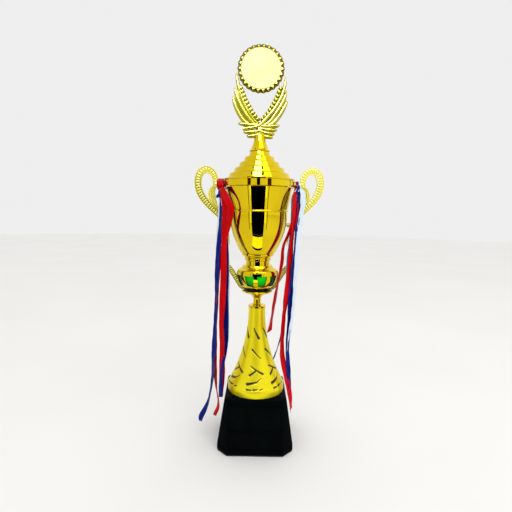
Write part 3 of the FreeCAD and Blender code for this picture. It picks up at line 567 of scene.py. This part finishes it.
def handle_crescent(centre):
    """The ribbed leaf inside the handle's curl, with painted shade between its ribs."""
    points = [(-13.6, -3), (-8.4, -8), (-6.4, -14), (-7.2, -22), (-11, -30), (-16.6, -37)]
    path = smooth_path(np.array(points) + centre, 140)
    widths = [(0, 0.9), (0.2, 3.4), (0.42, 4.8), (0.65, 4.4), (0.85, 2.4), (1, 0.6)]

    def ribs(along, t):
        hump = np.abs(np.sin(2 * math.pi * (t + 1)))
        # Painted shade in the grooves between the ribs.
        return 0.9 + 0.8 * hump * np.sqrt(np.maximum(1 - t**6, 0)), np.clip(0.55 - 2.2 * hump, 0, 1)

    return band(path, along_shares(widths, len(path)), ribs, across=41)


def handle_fixings(centre, inner):
    """The round bar that the ribbons are looped over, and the boss of the lower fixing."""
    near, end = 44.2, centre[0] - 11.4 + 0.6
    bar = [(0.4, near), (4.6, near), (4.6, near + 1.2), (3.9, near + 1.8), (3.9, end), (0.4, end)]
    boss = [(0.4, inner + 0.6), (2.6, inner + 0.6), (2.6, inner + 5.4), (0.4, inner + 5.4)]
    return [
        turned(bar, 48, axis="x", place=(0, 0, centre[1] - 3.1)),
        turned(boss, 32, axis="x", place=(0, 0, centre[1] - 53.5)),
    ]


def handle_shape(shade):
    """The right handle, built round the centre of its curl."""
    low, high = box_mm("handle_right")
    centre = np.array([high[0] - 15.0, high[2] - 18.8])
    leaves = [handle_scroll(centre, shade), handle_tail(centre), handle_crescent(centre)]
    return joined(leaves + handle_fixings(centre, low[0]))


def handles():
    """Mirrored handles. The left one's beads have darker painted shade in their gaps."""
    # The left handle's gaps get more painted shade than the right's.
    for name, shape in (("right", handle_shape(0.3)), ("left", mirrored(handle_shape(1.0)))):
        piece = add_piece(f"handle_{name}_scroll", shape, "trophy", "gold_plastic", [f"handle_{name}"])
        # Pale satin gold, its paleness partly a painted highlight.
        piece.data.materials[0] = LOOKS["gold_bright"]


# ---------------------------------------------------------------- lower bowl's arms


def arms():
    """The beaded leaf that rises on each side of the lower bowl, with full painted shade between its beads."""
    high = box_mm("bowl_arm_right")[1]
    tip = np.array([high[0], high[2]])
    points = [(-21.0, -31.6), (-17.6, -28.2), (-14.0, -22.6), (-10.0, -16.0), (-5.6, -8.8), (-0.4, -0.3)]
    path = smooth_path(np.array(points) + tip, 220)
    wide = along_shares([(0, 1.6), (0.15, 3.0), (0.75, 3.4), (0.92, 2.6), (1, 0.6)], len(path))
    # np.ones_like gives full painted shade in every gap between beads.
    right = band(path, wide, beads(2.7, 0.6, 2.0, np.ones_like), across=21)
    for side, shape in (("right", right), ("left", mirrored(right))):
        piece = add_piece(f"bowl_arm_{side}_leaf", shape, "trophy", "gold_plastic", [f"bowl_arm_{side}"])
        # Pale satin gold, its paleness partly a painted highlight.
        piece.data.materials[0] = LOOKS["gold_bright"]


# ---------------------------------------------------------------- cup

CUP_CURVE = 2.1
CUP_WALL = 1.2
CUP_WIDE = 37.0
CUP_NARROW = 22.3
CUP_HOLE = 4.2
FOOT_RADIUS = 17.3
STEP_RADIUS = 20.5
BEAD_HALF = 1.1


def cup():
    """The polished cup: two foot rings, one smooth bowl, a bead, a flared collar and the rim."""
    low, high = box_mm("cup_bowl")
    foot, rim = low[2], high[0]
    start, bead, collar = foot + 6.8, foot + 59.9, high[2] - 8.8

    def bowl(t):
        radius = CUP_WIDE - (CUP_WIDE - CUP_NARROW) * (1 - t) ** CUP_CURVE
        return radius, start + (bead - BEAD_HALF - start) * t

    profile = [(CUP_HOLE, foot), (FOOT_RADIUS - 0.9, foot)]
    rings = [(FOOT_RADIUS - 0.9, foot + 1.4, 1.3), (STEP_RADIUS - 0.9, foot + 4.7, 1.8)]
    for radius, middle, tall in rings:
        for turn in np.linspace(-1.4, 1.4, 12):
            profile.append((radius + math.cos(turn), middle + tall * math.sin(turn)))
    profile += [bowl(t) for t in np.linspace(0, 1, 70)]
    for turn in np.linspace(-1.2, 1.2, 9):
        profile.append((CUP_WIDE + BEAD_HALF * math.cos(turn), bead + BEAD_HALF * math.sin(turn)))
    profile += [(CUP_WIDE + 0.2, bead + 1.3), (rim - 1.3, collar), (rim, collar + 1.0)]
    profile += [(rim, high[2] - 0.3), (rim - 0.3, high[2])]
    profile += [(rim - CUP_WALL, high[2]), (rim - CUP_WALL, collar + 1.2)]
    profile += [(rim - 1.3 - CUP_WALL, collar + 0.2), (CUP_WIDE - CUP_WALL, bead)]
    for t in np.linspace(0.95, 0.05, 24):
        radius, height = bowl(t)
        profile.append((radius - CUP_WALL, height + 0.5))
    profile += [(STEP_RADIUS - CUP_WALL, foot + 6.0), (FOOT_RADIUS - CUP_WALL, foot + 3.0)]
    profile += [(FOOT_RADIUS - CUP_WALL, foot + CUP_WALL), (CUP_HOLE, foot + CUP_WALL)]
    shape = turned(profile, 240)
    add_piece("cup_polished", shape, "trophy", "gold_metal", ["cup_bowl"], math.radians(25))


# ---------------------------------------------------------------- lid

LID_TIERS = 5
LID_TOP_RADIUS = 13.9
LID_LEAN = 1.9
LID_WALL = 1.2
LID_BORE = 4.0
LID_FLANGE = 1.6
LID_SEAM = 0.9
LID_GROOVE = 0.7


def lid():
    """The stepped lid, with a fine groove under each tier, painted dark with shade, and its thin flange over the
    cup.
    """
    low, high = box_mm("lid_shell")
    rim, base, top = high[0], low[2], high[2]
    first, seam = rim - 6.0, base + LID_SEAM
    step = (top - base - LID_FLANGE) / LID_TIERS
    tread = (first - LID_TOP_RADIUS) / (LID_TIERS - 1)
    profile = [(first - LID_WALL, base), (rim - 2.2, base), (rim - 2.0, seam), (rim, seam)]
    profile += [(rim, base + LID_FLANGE - 0.2), (rim - 0.3, base + LID_FLANGE)]
    grooves, inner = [], []
    for i in range(LID_TIERS):
        radius, bottom = first - tread * i, base + LID_FLANGE + step * i
        grooves.append((radius - 0.9, bottom))
        profile += [(radius - 0.2, bottom), (radius - 0.9, bottom)]
        profile += [(radius - 0.9, bottom + LID_GROOVE * 0.7), (radius, bottom + LID_GROOVE)]
        profile += [(radius - LID_LEAN * t, bottom + t * step) for t in (0.35, 0.6, 0.9)]
        profile.append((radius - LID_LEAN - 0.4, bottom + step))
        inner.append((radius - LID_WALL - 0.4, bottom - LID_WALL * 0.5))
        inner.append((radius - LID_LEAN - LID_WALL, bottom + step - LID_WALL))
    profile += [(LID_BORE, top), (LID_BORE, top - LID_WALL), *inner[:0:-1]]

    def relief(angle, height, radius):
        deep = [(np.abs(radius - r) < 0.1) & (np.abs(height - z) < LID_GROOVE) for r, z in grooves]
        # Painted shade in the fine groove under each tier.
        return 0.0, 0.9 * np.any(deep, axis=0)

    shape = turned(profile, 180, relief)
    add_piece("lid_shell_polished", shape, "lid", "gold_metal", ["lid_shell"], math.radians(20))


# ---------------------------------------------------------------- finial

TEETH = 26
# Middle lines of the finial's parts as (distance out, height) from where they cross. side is -1 or 1.
FRONDS = {
    -1: [
        [(2.8, 0.7), (8.9, 6.5), (17.0, 18.9), (24.1, 34.2), (28.2, 49.3), (30.3, 60.6)],
        [(6, -1.0), (14.4, 7.4), (22.4, 18.9), (28.0, 30.4), (32.6, 42.7)],
        [(11, -1.6), (19.8, 3.6), (25.6, 11.0), (30.9, 21.8), (34.5, 33.2)],
    ],
    1: [
        [(-21.6, -6.1), (-7.7, -4.1), (0.8, -0.3), (8.0, 7.4), (17.7, 18.9), (25.3, 32.3), (29.4, 45.6),
         (30.2, 55.9)],
        [(4, -2.0), (12.0, 3.6), (19.8, 14.1), (27.4, 26.6), (32.0, 38.9)],
        [(9, -2.2), (16.1, 1.6), (22.4, 8.6), (27.6, 17.0), (33.3, 28.5)],
    ],
}  # fmt: skip
STEMS = {
    -1: [
        [(2, -1.0), (14, -0.8), (27.2, 0.4)],
        [(0, -8.4), (10, -9.6), (20.6, -10.0)],
        [(0, -12.4), (9, -14.4), (16.5, -15.0)],
    ],
    1: [
        [(1, -2.6), (12, -2.6), (24.1, -1.6)],
        [(-1, -5.4), (10, -6.6), (21.2, -7.0)],
        [(-1, -8.8), (9, -10.8), (18.3, -11.8)],
        [(0, -12.6), (8, -14.8), (16.4, -16.0)],
    ],
}
SAW_LEAF = [(0.6, 4.4), (7.6, 10.6), (14.4, 20.8), (20.4, 32.4), (25.4, 45.0)]
BACKING = [(5, 0), (14.5, 8.5), (22, 19), (27.5, 31), (30.5, 40)]
FROND_WIDE = [(0, 2.1), (0.3, 2.7), (0.75, 2.5), (0.93, 1.7), (1, 0.6)]
STEM_WIDE = [(0, 2.3), (0.6, 2.6), (0.9, 2.0), (1, 0.8)]
SAW_LEAF_WIDE = [(0, 1.8), (0.15, 3.3), (0.85, 3.5), (1, 2.8)]
BACKING_WIDE = [(0, 3.0), (0.25, 6.4), (0.7, 5.4), (1, 2.0)]
MEDAL_OVER_CROSS = 66.0


def toothed_ring(radius, high):
    """The ring round the medal: a smooth bezel, then triangular facets that end in short teeth, with painted shade
    on the bezel's edge and the facets' low sides.
    """
    angle = np.linspace(0, 2 * math.pi, TEETH * 12, endpoint=False)
    tooth = 1 - np.abs((angle * TEETH / (2 * math.pi)) % 1 * 2 - 1)
    edge = radius + 0.9
    wide = 3.4 + 0.5 * (1 - np.cos(angle)) / 2
    # Rows of (radius, half thickness, painted shade); the shade is darkest on the facets' low sides.
    half = [(radius + 0.05, 0.9, 0), (radius + 0.05, 2.3, 0), (radius + 0.5, 2.6, 0), (edge, 2.2, 0.6)]
    for share in np.linspace(0.12, 0.95, 7):
        raised = np.clip((tooth - 0.3 - 0.7 * share) * 6 + 0.5, 0, 1)
        out = edge + wide * share * (0.82 + 0.3 * tooth)
        half.append((out, 0.9 + 1.5 * raised * (1 - 0.5 * share), 1 - raised))
    half.append((edge + wide * (0.82 + 0.3 * tooth), 0.5, 0.3))
    rings, shade = [], []
    for r, y, d in [(r, -y, d) for r, y, d in half] + half[::-1]:
        r, y, d = (np.broadcast_to(value, angle.shape) for value in (r, y, d))
        rings.append(np.stack([r * np.sin(angle), y, high + r * np.cos(angle)], -1))
        shade.append(d)
    return lofted(np.array(rings).transpose(1, 0, 2), np.array(shade).T, closed=True)


def medal_web(radius, high):
    """The thin plate behind the medals."""
    points, faces, dark = turned([(0.5, -0.8), (radius + 0.3, -0.8), (radius + 0.3, 0.8), (0.5, 0.8)], 96)
    return points[:, [0, 2, 1]] + np.array([0, 0, high]), faces, dark


def backing_painted_shade(along, t):
    """The half thickness and painted shade of the plain band behind the fronds."""
    return np.full(along.shape, 0.7), np.full(along.shape, 0.55)


def finial():
    """The medal's toothed ring between two sprays of fronds, whose stems cross below it."""
    low, high = box_mm("medal_disc_front")
    radius, middle = (high[0] - low[0]) / 2, (high[2] + low[2]) / 2
    cross = middle - MEDAL_OVER_CROSS

    def placed(points, side):
        return np.array(points) * (side, 1) + (0, cross)

    shapes = [toothed_ring(radius, middle), medal_web(radius, middle)]
    for side, curves in FRONDS.items():
        for number, curve in enumerate(curves):
            over = -1.1 * side if number == 0 else 0.0
            shapes.append(rib(placed(curve, side), FROND_WIDE, 2.4 - 0.2 * number, over, 110))
    for side in (-1, 1):
        shapes.append(leaf(placed(SAW_LEAF, side), SAW_LEAF_WIDE, 1.9, 4.8, 0.2 * side))
        # The plain band behind the fronds, painted with shade.
        shapes.append(band(smooth_path(placed(BACKING, side), 60), along_shares(BACKING_WIDE, 60), backing_painted_shade))
    for side, curves in STEMS.items():
        for number, curve in enumerate(curves):
            shapes.append(rib(placed(curve, side), STEM_WIDE, 2.8, 0.25 * number * side, 50))
    foot = box_mm("finial_frame")[0][2]
    core = [(0, foot + 0.1), (0, foot + 6), (0, cross + 3)]
    shapes.append(rib(core, [(0, 5.0), (0.4, 5.6), (1, 1.5)], 2.4))
    shape = joined(shapes)
    piece = add_piece("finial_fronds", shape, "lid", "gold_plastic", ["finial_frame"], math.radians(25))
    piece.data.materials[0] = LOOKS["gold_lemon"]


# ---------------------------------------------------------------- ribbons

BAR = frame["joints"][-1]["pos_m"][2] / MM
RIBBON_WIDE = 10.0
RIBBON_SHOWN = 8.4
RIBBON_THICK = 0.28
RIBBON_ACROSS = 11
# Each tail is a list of levels: drop below the bar, distance out, distance forward, width seen in front.
TAILS = {
    "left": {
        "red": [
            [(5, 46.2, 14, 4), (10, 44, 19, 6.5), (26, 41, 22, 7.8), (36, 40, 23, 8.2), (50, 40.5, 23, 8),
             (62, 41, 22, 7.8), (90, 42, 21, 8), (120, 42.5, 20, 8), (170, 44.5, 18.5, 7),
             (201, 43.5, 18, 7), (240, 43.5, 17, 7), (273, 44.5, 16, 5)],
            [(6, 46, 17.5, 3), (17, 39.5, 29.5, 6.6), (31, 33.6, 33, 8), (47, 36, 28, 7), (70, 42, 18, 6),
             (108, 50, 12.5, 5), (160, 52.5, 11.5, 5), (204, 53, 11, 4), (255, 52.5, 10.5, 4),
             (285, 49, 10.5, 4), (302, 54, 10.5, 4)],
        ],
        "blue": [
            [(9, 46.2, 11, 3), (15, 46, 12.7, 3.5), (27, 46, 15, 4.5), (40, 46.5, 16, 5),
             (58, 47.5, 16.5, 5.5), (97, 50.5, 15, 5.5), (132, 51.5, 14, 5), (172, 52.5, 13.2, 5),
             (220, 55.5, 12, 5), (253, 57, 10, 4.2), (284, 62, 8.5, 3), (304, 71, 8, 5.5),
             (312, 72.5, 8, 4)],
            [(9, 45.5, 13, 4), (20, 43.5, 15.5, 6), (35, 42, 18, 6), (69, 41, 17.5, 6.5), (96, 40, 17, 7),
             (143, 39.8, 16.5, 7), (195, 39.8, 16, 7), (222, 42, 18.5, 5), (243, 45, 21, 5.5),
             (272, 45.5, 20, 5)],
        ],
        "white": [
            [(9, 47, 7.5, 4), (16, 47, 9, 5), (30, 47.3, 10.5, 5.5), (42, 48, 11, 5.5), (58, 48.8, 11, 5.5),
             (82, 50, 10.5, 5), (107, 51.5, 10, 4), (146, 52.5, 9, 3)],
            [(9, 46, 12, 5), (35, 42, 18.5, 6.5), (69, 41.5, 15, 7), (95, 39.6, 14, 7.4),
             (143, 39.2, 13.5, 7.6), (201, 39, 13, 7.4)],
        ],
    },
    "right": {
        "red": [
            [(5, 46, 12, 4), (20, 46, 17, 4.6), (35, 45.5, 19, 5.2), (61, 42, 20.5, 5.8), (89, 40, 20, 5.6),
             (144, 36, 18, 6.4), (170, 33.5, 17, 5.8), (211, 33, 16.5, 5.4), (237, 37, 16, 5.5),
             (267, 43.7, 15, 6), (291, 46.7, 14.5, 4)],
            [(6, 46, 13.5, 4), (18, 43.5, 22.5, 5.5), (45, 42, 22.5, 4.5), (62, 37, 21, 4),
             (76, 31.5, 19.5, 4.5), (100, 30, 18.5, 5), (127, 25, 17, 3.6), (169, 18.9, 15, 3.4),
             (186, 16.4, 14, 6)],
        ],
        "blue": [
            [(5, 48.7, 8, 3), (13, 49, 12.5, 3.6), (35, 48.5, 15, 4), (61, 46.5, 16.5, 4.2),
             (89, 44.5, 16.5, 4.2), (152, 41.5, 14, 5.4), (212, 40, 12.5, 5.4), (267, 45.3, 11, 4),
             (286, 46.7, 10.5, 3.4)],
            [(6, 47.6, 14, 3), (26, 45.5, 14.5, 4), (64, 41.5, 16, 4), (89, 39.5, 16, 4),
             (145, 35.5, 14.5, 4), (178, 33.5, 14, 3.6), (199, 29.5, 14.5, 2.6), (221, 23, 14.5, 2.8)],
        ],
        "white": [
            [(4, 51, 6.5, 4.5), (9, 54, 8, 6.6), (22, 55, 9.5, 7.4), (35, 53, 11, 6.8), (62, 50.5, 12, 6),
             (89, 49.5, 12.5, 5.6), (146, 46.5, 11.5, 4.6), (186, 43, 10.5, 3.4), (213, 40.5, 9.5, 3)],
            [(6, 47.5, 13, 3), (18, 41, 20, 5), (35, 41, 19, 4.2), (64, 40.5, 15, 3.6), (97, 38, 14, 3),
             (119, 37, 14, 3)],
        ],
    },
}  # fmt: skip


def strip_mesh(rows, side, seed):
    """A softly waved ribbon along rows of (x, y, z, seen width, looseness).

    Gives the mesh, its length, and each point's place on the ribbon laid flat.
    """
    path = smooth_path(rows, len(rows) * 26)
    centre, seen, loose = path[:, :3], path[:, 3], path[:, 4]
    direction = unit(np.gradient(centre, axis=0))
    gone = np.concatenate([[0], np.cumsum(np.linalg.norm(np.diff(centre, axis=0), axis=1))])
    wave = np.sin(gone / 17.0 + seed) + 0.6 * np.sin(gone / 7.3 + 2.1 * seed)
    lean = np.arccos(np.clip(seen / RIBBON_SHOWN, 0.05, 1)) + 0.12 * wave * loose
    wide = np.where(loose > 0, RIBBON_SHOWN, 0) * loose + seen * (1 - loose)
    level = np.stack([np.cos(lean * loose), side * np.sin(lean * loose), np.zeros_like(lean)], 1)
    level -= (level * direction).sum(1, keepdims=True) * direction
    level = unit(level)
    facing = unit(np.cross(level, direction))
    t = np.linspace(-1, 1, RIBBON_ACROSS)
    curl = (0.5 + 0.35 * np.sin(gone / 23.0 + 1.7 * seed)) * loose
    flute = 0.25 * np.sin(gone / 4.1 + seed)[:, None] * np.sin(math.pi * t + gone[:, None] / 9.0)
    rise = curl[:, None] * (t**2 - 0.4)[None, :] + flute * loose[:, None]
    middle = centre[:, None, :] + level[:, None, :] * (wide[:, None] / 2 * t)[:, :, None]
    middle = middle + facing[:, None, :] * rise[:, :, None]
    slant = np.exp(-gone[:, None] / 6.0) * t * 1.6 - np.exp(-(gone[-1] - gone)[:, None] / 6.0) * t * 1.6
    middle = middle + direction[:, None, :] * slant[:, :, None]
    half = facing[:, None, :] * RIBBON_THICK / 2
    rings = np.concatenate([middle - half, (middle + half)[:, ::-1]], 1)
    down = np.repeat(gone[:, None], 2 * RIBBON_ACROSS, 1)
    sideways = np.tile(np.r_[t, t[::-1]] * RIBBON_WIDE / 2, (len(gone), 1))
    return lofted(rings), gone[-1], np.stack([down, sideways], -1).reshape(-1, 2)


def loop_rows(side, near):
    """Rows once round the handle's bar, from its front over the top and back to the front."""
    rows = []
    for turn in np.linspace(0, 1, 13):
        angle = 2 * math.pi * turn
        radius = 4.75 + 0.5 * turn
        out, forward, rise = near + 0.25 * turn, radius * math.cos(angle), radius * math.sin(angle)
        rows.append((side * out, -forward, BAR + rise, 1.7, 0.0))
    return rows


def knot_rows():
    """Rows once round the left bundle's knot, wide in front and narrow behind."""
    rows = []
    for turn in np.linspace(0, 1.0, 15):
        angle = 2 * math.pi * turn - 0.6
        front = max(math.cos(angle), 0.0)
        out = 48.0 - 0.2 * front
        forward = (6.2 + 8.0 * front + 0.5 * turn) * math.cos(angle)
        rise = (7.0 + 0.4 * turn) * math.sin(angle) - 1.2 * front
        rows.append((-out, -forward, BAR + rise, 6.0 + 3.0 * front, 0.0))
    return rows


def fold_rows():
    """Rows round the small blue fold that hangs under the knot."""
    rows = []
    for turn in np.linspace(0, 2 * math.pi, 17):
        out, forward = 48.4 - 0.8 * math.cos(turn), 9.2 + 1.8 * math.sin(turn)
        rows.append((-out, -forward, BAR - 9.5 + 6.5 * math.cos(turn), 4.8, 1.0))
    return rows


def add_strip(name, rows, side, slot, seed, replaces=()):
    """Makes a ribbon piece on its ribbons' body, with each point's place on the ribbon laid flat."""
    shape, long, place = strip_mesh(rows, side, seed)
    hand = "left" if side < 0 else "right"
    piece = add_piece(name, shape, "ribbons_" + hand, slot, replaces, math.radians(60))
    strip = piece.data.attributes.new("strip", "FLOAT_VECTOR", "POINT")
    across = np.column_stack([place * MM, np.zeros(len(place))])
    strip.data.foreach_set("vector", across.astype(np.float32).ravel())


def ribbons():
    """Each colour is one ribbon looped once round the handle's bar, with both its tails in front."""
    for side, hand in ((-1, "left"), (1, "right")):
        for number, (colour, tails) in enumerate(TAILS[hand].items()):
            node = f"ribbon_{hand}_{colour}"
            first, second = (
                [(side * out, -forward, BAR - drop, seen, 1.0) for drop, out, forward, seen in tail]
                for tail in tails
            )
            rows = first[::-1] + loop_rows(side, 46.95 + 1.7 * number) + second
            seed = 1.3 * number + (0.7 if side > 0 else 2.9)
            add_strip(node + "_satin", rows, side, "ribbon_" + colour, seed, [node])
    add_strip("ribbon_left_knot", knot_rows(), -1, "ribbon_red", 0.4)
    add_strip("ribbon_left_fold", fold_rows(), -1, "ribbon_blue", 0.9)


# ---------------------------------------------------------------- stage


CARD_AWAY = -0.40
SOFTBOX_AT = (0.5, -1.0, 1.5)
LENS = 27.42
EYE = (-0.0024, -0.5, 0.2999)
TILT_DOWN = 6.29
ROLL = 0.957


def upright(x0, x1, z0, z1):
    """The corners of a card that stands in front of the trophy, in metres."""
    return [(x0, CARD_AWAY, z0), (x1, CARD_AWAY, z0), (x1, CARD_AWAY, z1), (x0, CARD_AWAY, z1)]


def lying(far, y0, near, y1, middle=-0.022):
    """The corners of a card on the floor, from half width far at y0 to half width near at y1."""
    corners = [(middle - far, y0), (middle + far, y0), (middle + near, y1), (middle - near, y1)]
    return [(x, y, MM) for x, y in corners]


def card(name, corners, strength, colour):
    """A studio card that shows only in the trophy's reflections."""
    mesh = bpy.data.meshes.new(name)
    mesh.from_pydata(corners, [], [(0, 1, 2, 3)])
    material = bpy.data.materials.new(name)
    material.use_nodes = True
    shader = material.node_tree.nodes["Principled BSDF"]
    shader.inputs["Base Color"].default_value = (0, 0, 0, 1)
    shader.inputs["Specular IOR Level"].default_value = 0.0
    shader.inputs["Emission Color"].default_value = (*colour, 1)
    shader.inputs["Emission Strength"].default_value = strength
    mesh.materials.append(material)
    panel = bpy.data.objects.new(name, mesh)
    bpy.context.scene.collection.objects.link(panel)
    panel.visible_camera = panel.visible_diffuse = panel.visible_shadow = False


def cards():
    """Dark and bright cards in front, above and on the floor, for the gold and the plastic to reflect."""
    black, amber, lemon, dark = (0, 0, 0), (1, 0.5, 0.3), (0.9, 1, 0.5), (1, 0.4, 0.1)
    rows = [
        (upright(-0.205, 0.16, 0.0005, 0.325), 0.0, black),
        (upright(-0.235, -0.205, 0.17, 0.325), 1.7, lemon),
        (upright(0.16, 0.20, 0.17, 0.325), 1.7, lemon),
        (upright(-0.31, -0.285, 0.06, 0.33), 0.05, amber),
        (upright(0.245, 0.265, 0.06, 0.33), 0.05, amber),
        (upright(-0.29, -0.19, 0.34, 0.42), 0.06, dark),
        (upright(0.19, 0.31, 0.34, 0.42), 0.06, dark),
        (upright(-0.05, 0.02, 0.34, 0.42), 0.0, black),
        (upright(-0.185, 0.065, 0.575, 0.74), 13.0, (1, 1, 5.0)),
        (upright(-0.255, -0.185, 0.60, 0.69), 0.0, black),
        (upright(0.065, 0.125, 0.60, 0.69), 0.0, black),
        (lying(0.18, -0.398, 0.17, -0.352), 0.0, black),
        (lying(0.145, -0.352, 0.12, -0.182), 1.5, (0.95, 1.1, 0.5)),
        (lying(0.12, -0.182, 0.105, -0.16), 0.0, black),
    ]
    for number, (corners, strength, colour) in enumerate(rows):
        card(f"studio_card_{number}", corners, strength, colour)


def floor():
    """A wide pale floor."""
    bpy.ops.mesh.primitive_circle_add(vertices=96, radius=5.0, fill_type="NGON")
    ground = bpy.context.object
    ground.name = "floor"
    ground.data.materials.append(
        plain("floor", (0.86, 0.85, 0.83), (0.83, 0.82, 0.80), 3.0, (0.6, 0.7), 200.0, 0.02, specular=0.1)
    )


def softbox():
    """A large lamp high in front, to the right."""
    lamp = bpy.data.lights.new("softbox", "AREA")
    lamp.energy, lamp.size = 9.0, 1.4
    box = bpy.data.objects.new("softbox", lamp)
    box.matrix_world = Matrix.Translation(SOFTBOX_AT) @ Matrix.Rotation(math.radians(38), 4, "X")
    bpy.context.scene.collection.objects.link(box)


def room():
    """An evenly bright room that lights the trophy a little more from the right."""
    world = bpy.data.worlds.new("studio")
    world.use_nodes = True
    add, link = world.node_tree.nodes.new, world.node_tree.links.new
    back = world.node_tree.nodes["Background"]
    place = add("ShaderNodeTexCoord")
    split = add("ShaderNodeSeparateXYZ")
    ray = add("ShaderNodeLightPath")
    mix = add("ShaderNodeMix")
    link(place.outputs["Generated"], split.inputs["Vector"])
    link(ray.outputs["Is Camera Ray"], mix.inputs["Factor"])
    link(ranged(add, link, split.outputs["X"], 0.86, 1.08, -1.0, 1.0), mix.inputs["A"])
    mix.inputs["B"].default_value = 0.86
    link(mix.outputs["Result"], back.inputs["Color"])
    back.inputs["Strength"].default_value = 1.0
    bpy.context.scene.world = world
    bpy.context.scene.view_settings.view_transform = "Standard"


def studio():
    """The floor, the cards, the lamp and the room."""
    floor()
    cards()
    softbox()
    room()


def camera():
    """The photograph's viewpoint: half a metre away, tilted down and turned a little about its own axis."""
    lens = bpy.data.cameras.new("camera")
    lens.sensor_width, lens.lens = 36.0, LENS
    lens.clip_start, lens.clip_end = 0.01, 50.0
    eye = bpy.data.objects.new("camera", lens)
    tilt = Matrix.Rotation(math.radians(90 - TILT_DOWN), 4, "X")
    roll = Matrix.Rotation(math.radians(ROLL), 4, "Z")
    eye.matrix_world = Matrix.Translation(EYE) @ tilt @ roll
    bpy.context.scene.collection.objects.link(eye)
    bpy.context.scene.camera = eye


camera()
studio()
plinth()
trumpet()
handles()
arms()
cup()
lid()
finial()
ribbons()
